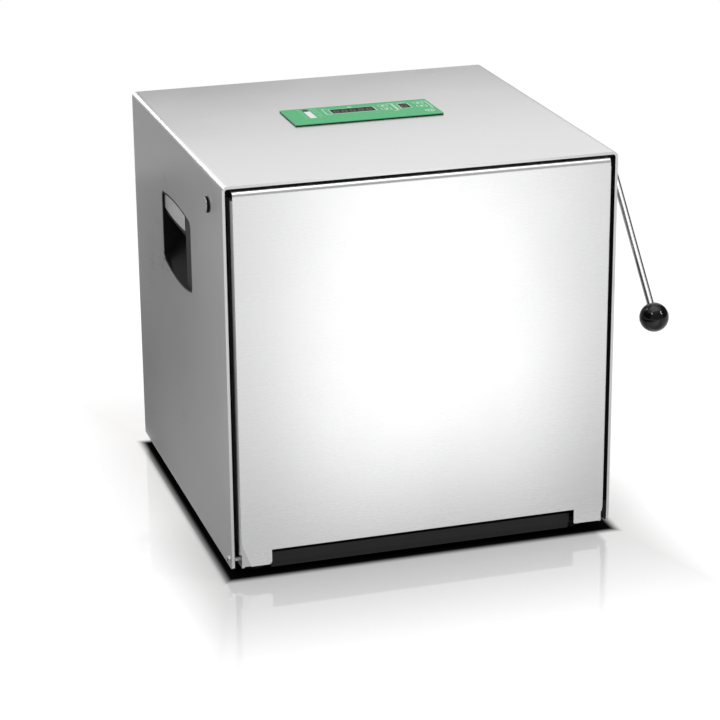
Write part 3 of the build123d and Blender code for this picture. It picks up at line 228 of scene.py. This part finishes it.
def brushedSheet(name, colour, roughness, grainLines=2600, grainLength=14, anisotropy=0.6):
    # Rolled and brushed sheet. Lines run along x on front and top faces and along y on side walls.
    material, tree, shader = startMaterial(name, colour, 1.0, roughness, Anisotropic=anisotropy)
    normal = addNode(tree, "NewGeometry").outputs["Normal"]
    parts = addNode(tree, "SeparateXYZ", {"Vector": normal})
    sideways = addNode(tree, "Math", {0: parts.outputs[0]}, operation="ABSOLUTE").outputs[0]
    isSide = addNode(tree, "Math", {0: sideways, 1: brush["sideFacing"]}, operation="GREATER_THAN").outputs[0]

    def brushed(lines, length, detail):
        front = pattern(tree, (length, lines, lines), detail)
        side = pattern(tree, (lines, length, lines), detail, offset=(0.3, 0.2, 0))
        mixed = addNode(tree, "Mix", {"Factor": isSide, "A": front, "B": side}, data_type="FLOAT")
        return mixed.outputs["Result"]

    fine = brushed(grainLines, grainLength, 3.0)
    broad = brushed(grainLines / brush["coarser"], grainLength * brush["longer"], 2.0)
    streak = addNode(tree, "Mix", {"Factor": brush["broadShare"], "A": fine, "B": broad},
                     data_type="FLOAT").outputs["Result"]
    colours = tint(tree, between(tree, streak, 0, 1), colour, *brush["shades"])
    tree.links.new(colours, shader.inputs["Base Color"])
    patch = between(tree, pattern(tree, *brush["clouds"]), *brush["cloudy"])
    level = between(tree, streak, roughness - brush["spread"], roughness + brush["spread"])
    total = addNode(tree, "Math", {0: level, 1: patch}, operation="ADD").outputs[0]
    tree.links.new(total, shader.inputs["Roughness"])
    along = addNode(tree, "VectorMath", {0: normal, 1: brush["grainCross"]}, operation="CROSS_PRODUCT")
    across = addNode(tree, "VectorMath", {0: normal, 1: along.outputs[0]}, operation="CROSS_PRODUCT")
    direction = addNode(tree, "VectorMath", {0: across.outputs[0]}, operation="NORMALIZE")
    tree.links.new(direction.outputs[0], shader.inputs["Tangent"])
    bump(tree, shader, streak, *brush["relief"])
    return material


def turnedMetal(name, colour, roughness, lines=900, spread=0.05, strength=0.08):
    # Lathe-turned or ground bar: fine lines one way, a little cloudiness over all.
    fine = (lines, 3.0)
    return skinned(name, colour, 1.0, roughness, ((60, 3.0, 0.6), 0.9, 1.05),
                   (fine, roughness - spread, roughness + spread), (fine, strength, 0.05 * mm))


def powderCoat(name, colour, roughness=0.42):
    # Paint with a fine orange peel and a few worn, smoother patches.
    patch = (25, 3.0, 0.6)
    return skinned(name, colour, 0.0, roughness, (patch, 0.8, 1.25),
                   (patch, roughness - 0.07, roughness + 0.07), ((900, 3.0, 0.55), 0.35, 0.12 * mm),
                   **{"Specular IOR Level": 0.3})


def mouldedPlastic(name, colour, roughness):
    # Spark-eroded mould texture: fine grain in the bump and in the roughness.
    grain = (1500, 4.0, 0.6)
    return skinned(name, colour, 0.0, roughness, ((40, 2.0), 0.85, 1.2),
                   (grain, roughness - 0.08, roughness + 0.08), (grain, 0.4, 0.08 * mm),
                   **{"Specular IOR Level": 0.05})


def glossyResin(name, colour, roughness, gloss):
    # Polished thermoset: nearly even, with faint handling haze.
    haze = (120, 4.0, 0.65)
    return skinned(name, colour, 0.0, roughness, (haze, 0.9, 1.4),
                   (haze, roughness, roughness + 0.07, 0.45, 0.75), None, **{"Specular IOR Level": gloss})


def softRubber(name, colour):
    # Dull rubber with a pale bloom in patches.
    bloom = (70, 4.0, 0.6)
    return skinned(name, colour, 0.0, 0.72, (bloom, 0.8, 1.7), (bloom, 0.64, 0.82),
                   ((1300, 2.0), 0.3, 0.1 * mm), **{"Sheen Weight": 0.15})


def castMetal(name, colour):
    # Sand-cast skin: grainy, with larger duller patches.
    skin = (500, 5.0, 0.65)
    return skinned(name, colour, 1.0, 0.45, ((30, 3.0), 0.82, 1.1), (skin, 0.36, 0.58), (skin, 0.5, 0.2 * mm))


def printedFilm(name, colour, roughness=0.4, gloss=0.12):
    # Polyester film printed from behind: even colour, velvet face, faint mottle of the ink.
    velvet = (2600, 2.0)
    return skinned(name, colour, 0.0, roughness, ((260, 3.0, 0.6), 0.95, 1.05),
                   (velvet, roughness - 0.06, roughness + 0.06), (velvet, 0.12, 0.04 * mm),
                   **{"Specular IOR Level": gloss})


def circuitBoard(name, colour):
    # Solder mask over copper tracks, which are the joints of a brick pattern.
    material, tree, shader = startMaterial(name, colour, 0.0, 0.35)
    place = addNode(tree, "TexCoord").outputs["Object"]
    tracks = addNode(tree, "TexBrick", {"Vector": place, "Scale": 260.0, "Mortar Size": 0.06,
                                        "Color1": (*colour, 1), "Color2": (*[c * 0.85 for c in colour], 1),
                                        "Mortar": (*[min(1, c * 2.4) for c in colour], 1)})
    tree.links.new(tracks.outputs["Color"], shader.inputs["Base Color"])
    tree.links.new(between(tree, pattern(tree, 400, 2.0), 0.28, 0.45), shader.inputs["Roughness"])
    bump(tree, shader, tracks.outputs["Fac"], 0.3, 0.05 * mm)
    return material


finishes = {
    "cover_steel": brushedSheet("coverSteel", (0.60, 0.605, 0.60), 0.29),
    "door_steel": brushedSheet("doorSteel", (0.70, 0.70, 0.705), 0.27),
    "tray_steel": brushedSheet("traySteel", (0.55, 0.55, 0.555), 0.33),
    "black_paint": powderCoat("blackPaint", (0.007, 0.007, 0.008)),
    "chamber_steel": brushedSheet("chamberSteel", (0.62, 0.62, 0.63), 0.26, 1500, 9, 0.5),
    "screw_steel": turnedMetal("screwSteel", (0.58, 0.58, 0.59), 0.25),
    "polished_steel": turnedMetal("polishedRod", (0.72, 0.72, 0.72), 0.08, 300, 0.02, 0.01),
    "knob_black": glossyResin("knobBlack", (0.002, 0.002, 0.0022), 0.04, 0.3),
    "moulded_black": mouldedPlastic("mouldedBlack", (0.009, 0.009, 0.0094), 0.40),
    # Painted reflection: the handle's lip takes a pale turned-metal finish, which stands in for the light that
    # its glossy black top catches.
    "lip_metal": turnedMetal("lipPaintedSheen", (0.62, 0.62, 0.62), 0.32, (60, 2200, 2200), 0.06, 0.1),
    "panel_film": printedFilm("panelFilm", (0.066, 0.44, 0.175)),
    "display_black": glossyResin("displayWindow", (0.006, 0.0055, 0.0065), 0.3, 0.03),
    "rubber_black": softRubber("rubberBlack", (0.011, 0.011, 0.011)),
    "cast_metal": castMetal("castMetal", (0.56, 0.56, 0.57)),
    "bronze": turnedMetal("bronze", (0.56, 0.36, 0.16), 0.3),
    "machined_steel": turnedMetal("machinedSteel", (0.48, 0.48, 0.49), 0.26, (1400, 300, 1400)),
    "motor_paint": powderCoat("motorPaint", (0.07, 0.08, 0.09), 0.35),
    "board_green": circuitBoard("boardGreen", (0.02, 0.13, 0.055)),
}

for entry in frame["record"]["subparts"]:
    shown = frame["nodes"][entry["node"]]
    for index in range(max(1, len(shown.material_slots))):
        if not shown.material_slots:
            shown.data.materials.append(None)
        shown.material_slots[index].material = finishes[entry["material_slot"]]
print("finishes on every piece of the machine")


# Sizes on the panel in millimetres, places from its front left corner. A window or bar is
# (left, right, front, back).
panel = {
    "ink": 0.06,              # thickness of the printed layer
    "sunk": 0.01,             # depth of its foot below the surface
    "line": 0.8, "thinLine": 0.6, "handLine": 0.5,
    "timeWindow": (55.0, 106.0, 36.9, 55.5),
    "speedWindow": (137.4, 148.2, 37.1, 56.5),
    "frame": (1.0, 0.8),      # gap round a window and corner radius of its outline
    "bar": (24.6, 32.1, 25.2, 55.4),
    "barTop": (24.6, 31.1, 55.6, 65.1),
    "barCorners": (0.6, 0.4),
    "ticks": 6, "tickLength": 2.5,
    "tickPlaces": (3.0, -13.0),    # from the bar's right edge
    "tickInset": 1.0,
    "numerals": (7.0, -1.4, 0.3),  # right of the bar, below the tick, share of a display's figure
    "clock": (5.2, 2.2),      # behind the window, radius
    "clockHands": [(0, 1.5), (0, 0), (1.2, -0.5)],
    "chevrons": (-3.2, 0.0, 3.2),
    "chevronRise": 4.6,
    "chevron": [(-0.9, 1.7), (0.9, 0.0), (-0.9, -1.7)],
}
# Bracket: window, its side, distance of the back and of the arms' ends, reach in front and behind.
brackets = [
    ("timeWindow", -1, 8.0, 3.0, 3.0, 4.0),
    ("timeWindow", 1, 24.0, 19.0, 9.0, 6.0),
    ("speedWindow", -1, 6.0, 2.5, 3.0, 4.0),
    ("speedWindow", 1, 23.5, 19.5, 9.0, 4.0),
]
whiteInk = printedFilm("whiteInk", (0.82, 0.83, 0.82))
darkInk = printedFilm("darkInk", (0.02, 0.022, 0.022))
panelLow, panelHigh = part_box("control_overlay")


def printed(name, outlines, material, place, surface, body="root"):
    # Plates, rings and open lines (kind, shape, width) in millimetres, lying on a surface at a place.
    low, high = surface - panel["sunk"] * mm, surface + panel["ink"] * mm
    parts = []
    for kind, shape, *width in outlines:
        spots = np.asarray(shape, float) * mm + np.asarray(place)
        if kind == "plate":
            parts.append(plate(spots, low, high))
        else:
            parts.append(ribbon(spots, width[0] * mm, low, high, kind == "ring"))
    points, faces = joined(parts)
    return meshPiece(name, points, faces, material, body)


def bracket(window, side, back, arm, front, behind):
    # Square bracket beside a window, with two points close together at each corner.
    edge = panel[window][0 if side < 0 else 1]
    x0, x1 = edge + side * back, edge + side * arm
    y0, y1 = panel[window][2] - front, panel[window][3] + behind
    soft = 0.4
    return [(x1, y0), (x0 - side * soft, y0), (x0, y0 + soft),
            (x0, y1 - soft), (x0 - side * soft, y1), (x1, y1)]


def windowFrame(window):
    gap, corner = panel["frame"]
    x0, x1, y0, y1 = panel[window]
    return roundedBox((x0 - gap, x1 + gap), (y0 - gap, y1 + gap), corner)


digit = {
    "height": 9.5, "width": 5.0, "bar": 1.0, "lean": 0.12, "gap": 0.15,
    # Ends of the bars in widths and half heights: foot, middle, head, then the uprights, the lower
    # left and right ones first.
    "bars": [(0, 0, 1, 0), (0, 1, 1, 1), (0, 2, 1, 2), (0, 0, 0, 1), (1, 0, 1, 1), (0, 1, 0, 2), (1, 1, 1, 2)],
    "numerals": {1: (4, 6), 2: (0, 1, 2, 3, 6), 3: (0, 1, 2, 4, 6), 4: (1, 4, 5, 6), 5: (0, 1, 2, 4, 5),
                 6: (0, 1, 2, 3, 4, 5)},
}


def sevenSegments(x, y, scale=1.0, chosen=range(7)):
    # Hexagonal bars of one figure, leaning to the right: all seven give an 8.
    unit, b = np.array([digit["width"], digit["height"] / 2]), digit["bar"]
    shapes = []
    for ax, ay, bx, by in digit["bars"]:
        start, end = unit * (ax, ay), unit * (bx, by)
        along = (end - start) / np.linalg.norm(end - start)
        across = np.array([-along[1], along[0]])
        inset = along * (digit["gap"] + b * 0.1)
        start, end = start + inset, end - inset
        hexagon = np.array([start, start + (along - across) * b / 2, end - (along + across) * b / 2, end,
                            end - (along - across) * b / 2, start + (along + across) * b / 2])
        hexagon[:, 0] += digit["lean"] * hexagon[:, 1]
        shapes.append(hexagon * scale + np.array([x, y]))
    return [shapes[index] for index in chosen]


def middleOf(window):
    x0, x1, y0, y1 = panel[window]
    return (x0 + x1) / 2, (y0 + y1) / 2


line, thinLine = panel["line"], panel["thinLine"]
outlines = [("ring", windowFrame(window), thinLine) for window in ("timeWindow", "speedWindow")]
outlines += [("line", bracket(*place), line) for place in brackets]
outlines.append(("plate", roundedBox(panel["bar"][:2], panel["bar"][2:], panel["barCorners"][0])))
barRight, barFront, barBack = panel["bar"][1], panel["bar"][2], panel["barTop"][3]
steps = np.linspace(barFront + panel["tickInset"], barBack - panel["tickInset"], panel["ticks"])
for value, step in enumerate(steps, 1):
    for start in panel["tickPlaces"]:
        x = barRight + start
        outlines.append(("line", [(x, step), (x + panel["tickLength"], step)], thinLine))
    right, below, scale = panel["numerals"]
    figure = sevenSegments(barRight + right, step + below, scale, digit["numerals"][value])
    outlines += [("plate", shape) for shape in figure]
turn = np.linspace(0, 2 * math.pi, 41)[:-1]
circle = np.column_stack([np.cos(turn), np.sin(turn)])
rise, radius = panel["clock"]
clock = (middleOf("timeWindow")[0], panel["timeWindow"][3] + rise)
outlines.append(("ring", circle * radius + clock, thinLine))
outlines.append(("line", np.array(panel["clockHands"]) + clock, panel["handLine"]))
for shift in panel["chevrons"]:
    place = (middleOf("speedWindow")[0] + shift, panel["speedWindow"][3] + panel["chevronRise"])
    outlines.append(("line", np.array(panel["chevron"]) + place, thinLine))
corner = (panelLow[0], panelLow[1])
printed("panelPrint", outlines, whiteInk, corner, panelHigh[2])
barTop = roundedBox(panel["barTop"][:2], panel["barTop"][2:], panel["barCorners"][1])
printed("barTop", [("plate", barTop)], darkInk, corner, panelHigh[2])

figurePlaces = {"columns": 5, "first": 3.0, "pitch": 9.8, "speed": -3.2}
timeMiddle, speedMiddle = middleOf("timeWindow"), middleOf("speedWindow")
figures = []
for column in range(figurePlaces["columns"]):
    x = panel["timeWindow"][0] + figurePlaces["first"] + column * figurePlaces["pitch"]
    figures += sevenSegments(x, timeMiddle[1] - digit["height"] / 2)
figures += sevenSegments(speedMiddle[0] + figurePlaces["speed"], speedMiddle[1] - digit["height"] / 2)
digitInk = printedFilm("unlitSegments", (0.07, 0.06, 0.06), 0.3, 0.5)
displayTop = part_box("display_modules")[1][2]
printed("displayFigures", [("plate", figure) for figure in figures], digitInk, corner, displayTop)

# Marks on the keys, in millimetres from the middle of the cap.
keyPrint = {
    "triangle": np.array([(-2.6, -1.8), (2.6, -1.8), (0.0, 2.4)]),
    "frame": ((-5.6, 5.6), (-5.1, 5.1), 1.4),
    "ring": 5.4,
    "play": [(-2.6, -2.0), (0.2, 0.0), (-2.6, 2.0)],
    "stop": ((0.9, 3.1), (-1.6, 1.6), 0.2),
}


def keyMark(name, shapes):
    low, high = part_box("key_" + name)
    middle = [(low[0] + high[0]) / 2, (low[1] + high[1]) / 2]
    return printed("mark_" + name, shapes, whiteInk, middle, high[2], "key_" + name)


for name in ("time_up", "time_down", "speed_up", "speed_down"):
    way = keyPrint["triangle"] if name.endswith("up") else -keyPrint["triangle"]
    keyMark(name, [("plate", way), ("ring", roundedBox(*keyPrint["frame"]), thinLine)])
keyMark("start_stop", [("ring", circle * keyPrint["ring"], line), ("plate", keyPrint["play"]),
                       ("plate", roundedBox(*keyPrint["stop"]))])
print("panel print and key marks placed")

knob = {
    "flat": 2.0 * mm,         # cut off the ball where the rod goes in
    "seam": (0.22 * mm, 0.45 * mm),     # height and half width of the mould's parting line
    "rim": (0.3 * mm, 0.1 * mm),        # width and depth of the bevel round the flat
    "rings": 60, "turns": 72,
}


def revolved(profile, centre, axis, turns):
    # Profile (radius, distance along the axis) turned round an axis; a single point closes each end.
    axis = np.asarray(axis) / np.linalg.norm(axis)
    side = np.cross(axis, (1.0, 0.0, 0.0))
    side /= np.linalg.norm(side)
    other = np.cross(axis, side)
    angle = np.linspace(0, 2 * math.pi, turns + 1)[:-1]
    ring = np.cos(angle)[:, None] * side + np.sin(angle)[:, None] * other
    rows = profile[1:-1]
    points = (centre + rows[:, 1, None, None] * axis + rows[:, 0, None, None] * ring).reshape(-1, 3)
    ends = centre + profile[[0, -1], 1][:, None] * axis
    last, count = (len(rows) - 1) * turns, len(points)
    after = [(i + 1) % turns for i in range(turns)]
    caps = [(count, j, i) for i, j in enumerate(after)]
    caps += [(count + 1, last + i, last + j) for i, j in enumerate(after)]
    return np.concatenate([points, ends]), gridFaces(len(rows), turns)[:, ::-1].tolist() + caps


low, high = (np.array(corner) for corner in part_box("ball_knob"))
ballRadius = (high[0] - low[0]) / 2
ballCentre = np.array([low[0] + ballRadius, (low[1] + high[1]) / 2, low[2] + ballRadius])
rodMiddle = np.mean(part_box("lever_rod"), axis=0)
# Sphere whose radius swells in a narrow bell at its equator, cut flat where the rod goes in.
angle = np.linspace(0, math.acos(-(1 - knob["flat"] / ballRadius)), knob["rings"])
swell = knob["seam"][0] * np.exp(-((angle - math.pi / 2) * ballRadius / knob["seam"][1]) ** 2)
profile = np.column_stack([np.sin(angle), np.cos(angle)]) * (ballRadius + swell)[:, None]
profile[0, 0] = 0.0
rimRadius, rimPlace = profile[-1]
rimWidth, rimDepth = knob["rim"]
edge = [[rimRadius - rimWidth, rimPlace - rimDepth], [0.0, rimPlace - rimDepth]]
profile = np.concatenate([profile, edge])
points, faces = revolved(profile, ballCentre, ballCentre - rodMiddle, knob["turns"])
ball = meshPiece("knobBall", points, faces, finishes["knob_black"], "latch")
ball.data.polygons.foreach_set("use_smooth", np.ones(len(ball.data.polygons), bool))
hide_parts("ball_knob")
ball.visible_glossy = False
print("ball knob made")


scene = bpy.context.scene
scene.view_settings.view_transform = "Standard"
studio = {
    "worldLight": 0.5,        # soft light from all round
    "middle": (0, 0, 0.25),   # what lamps and cards face
    "lens": 125.415, "sensor": 36.0,
    "place": (-0.825375, -2.601717, 1.1508),
    "azimuth": -16.8896,
    "elevation": 19.7797,
    "roll": -0.516,
}
# Lamps: direction and distance from the machine's middle, width, height, power.
lamps = {
    "leftSoftBox": ((-0.456, -0.572, 0.68), 2.6, 0.6, 0.25, 8),
    "rightSoftBox": ((0.644, -0.564, 0.515), 2.6, 0.25, 0.6, 10),
    "overheadLight": ((0.05, -0.1, 1.0), 2.2, 1.8, 1.8, 16),
}
eyePoint = np.array(studio["place"])


def seenRays(tree):
    # 1 for rays that reach the eye directly, in a mirror or through glass; 0 for soft light.
    path = addNode(tree, "LightPath").outputs
    seen = path["Is Camera Ray"]
    for kind in ("Is Glossy Ray", "Is Transmission Ray"):
        seen = addNode(tree, "Math", {0: seen, 1: path[kind]}, operation="MAXIMUM").outputs[0]
    return seen


world = bpy.data.worlds.new("studio")
scene.world = world
world.use_nodes = True
sky = world.node_tree
background = sky.nodes["Background"]
brightness = addNode(sky, "MapRange", {"Value": seenRays(sky), "To Min": studio["worldLight"], "To Max": 1.0})
sky.links.new(brightness.outputs[0], background.inputs["Strength"])
background.inputs["Color"].default_value = (1, 1, 1, 1)

floorSheet = {
    "size": 14.0,
    "colour": 0.42,
    "lift": 0.76,             # glow seen by the eye, so that the floor reads as white paper
    "farAway": (1.2, 0.35),   # reach of the fade to even white, and the share of it where that starts
    "gloss": 0.5,             # mirror image right at the foot of the machine
    "mirror": {"Roughness": 0.05, "Color": (0.80, 0.775, 0.77, 1)},
    "reach": (0.10, 0.31),    # how far it fades out beside and in front of the machine
    "footprint": {"x": (-0.236, 0.208), "y": (-0.171, 0.252)},
    "shadow": 0.004,
    "shadowEdge": 0.014,      # width of the soft edge of the dark beneath it
}


def beyond(tree, axis, low, high, reach):
    # Distance outside the two limits along one axis, in parts of the reach.
    value = axis
    for number, operation in (((low + high) / 2, "SUBTRACT"), (None, "ABSOLUTE"),
                              ((high - low) / 2, "SUBTRACT"), (reach, "DIVIDE")):
        inputs = {0: value} if number is None else {0: value, 1: number}
        value = addNode(tree, "Math", inputs, operation=operation).outputs[0]
    return value


def floorSurface():
    # White paper that glows for the eye outside the footprint, under a mirror that fades with distance.
    material, tree, shader = startMaterial("paperFloor", (floorSheet["colour"],) * 3, 0.0, 0.6)
    shader.inputs["Specular IOR Level"].default_value = 0.0
    shader.inputs["Emission Color"].default_value = (1, 1, 1, 1)
    place = addNode(tree, "SeparateXYZ", {"Vector": addNode(tree, "TexCoord").outputs["Object"]})

    def fading(reachX, reachY, **limits):
        # Smooth step over the distance outside the footprint.
        x = beyond(tree, place.outputs[0], *floorSheet["footprint"]["x"], reachX)
        y = beyond(tree, place.outputs[1], *floorSheet["footprint"]["y"], reachY)
        away = addNode(tree, "Math", {0: x, 1: y}, operation="MAXIMUM").outputs[0]
        inputs = {"Value": away, **{key.replace("_", " "): value for key, value in limits.items()}}
        return addNode(tree, "MapRange", inputs, interpolation_type="SMOOTHSTEP").outputs[0]

    lift = addNode(tree, "Math", {0: seenRays(tree), 1: floorSheet["lift"]}, operation="MULTIPLY").outputs[0]
    tree.links.new(lift, shader.inputs["Emission Strength"])
    fade = fading(*floorSheet["reach"], To_Min=floorSheet["gloss"], To_Max=0.0)
    mirror = addNode(tree, "BsdfAnisotropic", floorSheet["mirror"])
    mixed = addNode(tree, "MixShader", {0: fade, 1: shader.outputs[0], 2: mirror.outputs[0]})
    # Painted shadow: within the footprint and its soft edge, a near-black sheet takes the place of the paper.
    lit = fading(floorSheet["shadowEdge"], floorSheet["shadowEdge"])
    dark = addNode(tree, "BsdfDiffuse", {"Color": (*(floorSheet["shadow"],) * 3, 1)})
    shaded = addNode(tree, "MixShader", {0: lit, 1: dark.outputs[0], 2: mixed.outputs[0]})
    farReach, farStart = floorSheet["farAway"]
    far = fading(farReach, farReach, From_Min=farStart)
    even = addNode(tree, "MapRange", {"Value": seenRays(tree), "To Min": studio["worldLight"]}).outputs[0]
    paper = addNode(tree, "Emission", {"Strength": even})
    whole = addNode(tree, "MixShader", {0: far, 1: shaded.outputs[0], 2: paper.outputs[0]})
    tree.links.new(whole.outputs[0], tree.nodes["Material Output"].inputs["Surface"])
    return material


half = floorSheet["size"] / 2
floorCorners = [(-half, -half, 0), (half, -half, 0), (half, half, 0), (-half, half, 0)]
stageMesh("floor", floorCorners, [(0, 1, 2, 3)], floorSurface())


def cardSurface(name):
    # Light card: glows by the tone stored at its corners, on its face only.
    material = bpy.data.materials.new(name)
    material.use_nodes = True
    tree = material.node_tree
    tree.nodes.remove(tree.nodes["Principled BSDF"])
    tone = addNode(tree, "Attribute", attribute_name="tone").outputs["Fac"]
    glow = addNode(tree, "Emission", {"Strength": tone})
    clear = addNode(tree, "BsdfTransparent")
    face = addNode(tree, "NewGeometry").outputs["Backfacing"]
    mixed = addNode(tree, "MixShader", {0: face, 1: glow.outputs[0], 2: clear.outputs[0]})
    tree.links.new(mixed.outputs[0], tree.nodes["Material Output"].inputs["Surface"])
    return material


cardMaterial = cardSurface("lightCard")


def lightCard(name, points, tones):
    # Grid of points with a brightness at each, its face towards the machine; only shiny surfaces see it.
    rows, columns = tones.shape
    faces = gridFaces(rows, columns, False)
    first = points[0, 0]
    outward = np.cross(points[0, 1] - first, points[1, 0] - first)
    facing = np.dot(outward, np.array(studio["middle"]) - first)
    card = stageMesh(name, points, faces if facing > 0 else faces[:, ::-1], cardMaterial)
    tone = card.data.attributes.new("tone", "FLOAT", "POINT")
    tone.data.foreach_set("value", tones.ravel())
    for kind in ("camera", "diffuse", "transmission", "volume_scatter", "shadow"):
        setattr(card, "visible_" + kind, False)
    return card


def grid(first, second):
    # Two coordinates spread evenly over (start, end, count) each.
    return np.meshgrid(np.linspace(*first), np.linspace(*second))


def smooth(value, start, end):
    # Smooth step from 0 at the start to 1 at the end, either way round.
    part = np.clip((value - start) / (end - start), 0, 1)
    return part * part * (3 - 2 * part)


def mix(first, second, part):
    return first + (second - first) * part


def mirrored(points, axis, level, sheet):
    # Where the eye's rays, reflected at the points by a wall across one axis, meet a sheet (axis, level).
    ray = points - eyePoint
    ray[..., axis] *= -1
    length = (level - points[..., sheet]) / ray[..., sheet]
    return points + ray * length[..., None]


cardLift = 4 * mm             # the cards on the floor lie this far above it

# Card on the floor before the door: bright in the middle, greyer to the sides and at the foot.
doorLight = {
    "plane": -0.1837, "across": (-0.42, 0.40, 42), "height": (0.03, 0.60, 30),
    "middle": -0.0172, "half": 0.21,    # of the door, from side to side
    "centre": 1.85, "sides": (0.98, 0.90), "sideFades": ((0.30, 1.05), (0.40, 1.10)),
    "foot": (0.70, 0.12), "footFade": (0.02, 0.24),
    "edgeFades": ((0.60, 0.52), (1.95, 1.45)),
}
across, height = grid(doorLight["across"], doorLight["height"])
points = np.stack([across, np.full_like(across, doorLight["plane"]), height], -1)
side = (across - doorLight["middle"]) / doorLight["half"]
leftShare, rightShare = (smooth(sign * side, *fade) for sign, fade in zip((-1, 1), doorLight["sideFades"]))
upper = smooth(height, *doorLight["footFade"])
sides = np.where(side < 0, *doorLight["sides"]) * mix(doorLight["foot"][0], 1, upper)
shareOfCentre = mix(doorLight["foot"][1], 1, upper) * (1 - np.maximum(leftShare, rightShare))
tones = mix(sides, doorLight["centre"], shareOfCentre)
topFade, sideFade = doorLight["edgeFades"]
edge = smooth(height, *topFade) * smooth(np.abs(side), *sideFade)
lightCard("doorCard", mirrored(points, 1, cardLift, 2), mix(1, tones, edge))

# Card on the floor beside the left wall: greyer to the back and higher up.
wallLight = {
    "plane": -0.2372, "along": (-0.45, 0.52, 50), "height": (0.015, 1.1, 56),
    "front": 0.26, "back": 0.12, "backFade": (-0.02, 0.26),
    "high": 0.25, "highFade": (0.15, 0.42),
    "foot": 0.10, "footFade": (0.26, 0.05),
    "edgeFades": ((1.1, 0.9), (-0.45, -0.36), (0.52, 0.44)),
}
along, height = grid(wallLight["along"], wallLight["height"])
points = np.stack([np.full_like(along, wallLight["plane"]), along, height], -1)
tones = mix(wallLight["front"], wallLight["back"], smooth(along, *wallLight["backFade"]))
tones = tones * mix(1, wallLight["high"], smooth(height, *wallLight["highFade"]))
tones = tones + wallLight["foot"] * smooth(height, *wallLight["footFade"])
topFade, frontFade, backFade = wallLight["edgeFades"]
edge = smooth(height, *topFade) * smooth(along, *frontFade) * smooth(along, *backFade)
lightCard("wallCard", mirrored(points, 0, cardLift, 2), mix(1, tones, edge))

# Grey card on the floor to the front left, seen by the rounded edges that turn that way.
besideLight = {
    "across": (-2.0, -0.26, 30), "along": (-1.7, 0.0, 30), "height": 3 * mm,
    "tone": 0.12, "edgeFades": ((-2.0, -1.5), (-1.7, -1.2)),
}
across, along = grid(besideLight["across"], besideLight["along"])
leftFade, frontFade = besideLight["edgeFades"]
edge = smooth(across, *leftFade) * smooth(along, *frontFade)
points = np.stack([across, along, np.full_like(across, besideLight["height"])], -1)
lightCard("besideCard", points, mix(1, besideLight["tone"], edge))

# Upright card behind the machine, for the top: places are those of the top that mirror it. A bright
# strip follows the line of the card that the left fold mirrors.
topLight = {
    "plane": 0.56, "across": (-0.9, 0.75, 56), "depth": (1.2, -0.9, 40),
    "level": 0.446, "climb": 0.29, "drift": 0.32,
    "front": 1.6, "back": (0.38, 0.56), "backFade": (-0.22, 0.10), "rightFade": (-0.25, 0.2),
    "fold": 6.5, "foldLine": (-0.237, -0.5437), "foldFade": (0.045, 0.015),
}
across, depth = grid(topLight["across"], topLight["depth"])
reach = topLight["plane"] - depth
height = topLight["level"] + reach * topLight["climb"]
x = across + reach * topLight["drift"]
backTone = mix(*topLight["back"], smooth(across, *topLight["rightFade"]))
tones = mix(topLight["front"], backTone, smooth(depth, *topLight["backFade"]))
foldPlace, foldSlope = topLight["foldLine"]
strip = smooth(np.abs(across - foldPlace - foldSlope * reach), *topLight["foldFade"])
points = np.stack([x, np.full_like(x, topLight["plane"]), height], -1)
lightCard("topCard", points, mix(tones, topLight["fold"], strip))

# Dome: white overhead and behind the machine, dark to the right, to the left and behind the camera.
# Turns run from the front, to the right positive; fades are in radians.
domeLight = {
    "radius": 6.0, "turn": (-180, 180, 73), "rise": (2, 88, 24), "riseFade": (0.95, 0.70),
    "front": 0.6, "frontTurn": -0.15, "frontFade": (1.15, 0.85),
    "right": 0.9, "rightFades": ((0.70, 0.95), (2.6, 2.3)),
    "left": 0.95, "leftFades": ((0.70, 0.95), (2.4, 2.1)),
}
turn, rise = (np.radians(angle) for angle in grid(domeLight["turn"], domeLight["rise"]))
dome = np.stack([np.sin(turn) * np.cos(rise), -np.cos(turn) * np.cos(rise), np.sin(rise)], -1)
frontShade = domeLight["front"] * smooth(np.abs(turn - domeLight["frontTurn"]), *domeLight["frontFade"])
rightShade, leftShade = (domeLight[key] * smooth(sign * turn, *fades[0]) * smooth(sign * turn, *fades[1])
                         for key, sign, fades in (("right", 1, domeLight["rightFades"]),
                                                  ("left", -1, domeLight["leftFades"])))
shade = np.max([frontShade, rightShade, leftShade], 0)
lightCard("dome", domeLight["radius"] * dome, 1 - smooth(rise, *domeLight["riseFade"]) * shade)

aim = Vector(studio["middle"])
for name, (towards, distance, width, height, power) in lamps.items():
    lamp = bpy.data.lights.new(name, "AREA")
    lamp.shape = "RECTANGLE"
    lamp.size, lamp.size_y, lamp.energy = width, height, power
    made = bpy.data.objects.new(name, lamp)
    made.location = aim + Vector(towards).normalized() * distance
    made.rotation_euler = (aim - made.location).to_track_quat("-Z", "Y").to_euler()
    scene.collection.objects.link(made)

camera = bpy.data.cameras.new("camera")
camera.lens, camera.sensor_width = studio["lens"], studio["sensor"]
eye = bpy.data.objects.new("camera", camera)
azimuth, elevation, roll = (math.radians(studio[key]) for key in ("azimuth", "elevation", "roll"))
back = Vector((math.sin(azimuth) * math.cos(elevation), -math.cos(azimuth) * math.cos(elevation),
               math.sin(elevation)))
level = Vector((math.cos(azimuth), math.sin(azimuth), 0))
upright = back.cross(level)
right = level * math.cos(roll) + upright * math.sin(roll)
up = upright * math.cos(roll) - level * math.sin(roll)
turned = Matrix((right, up, back)).transposed().to_4x4()
eye.matrix_world = Matrix.Translation(studio["place"]) @ turned
scene.collection.objects.link(eye)
scene.camera = eye
print("floor, light and camera placed")
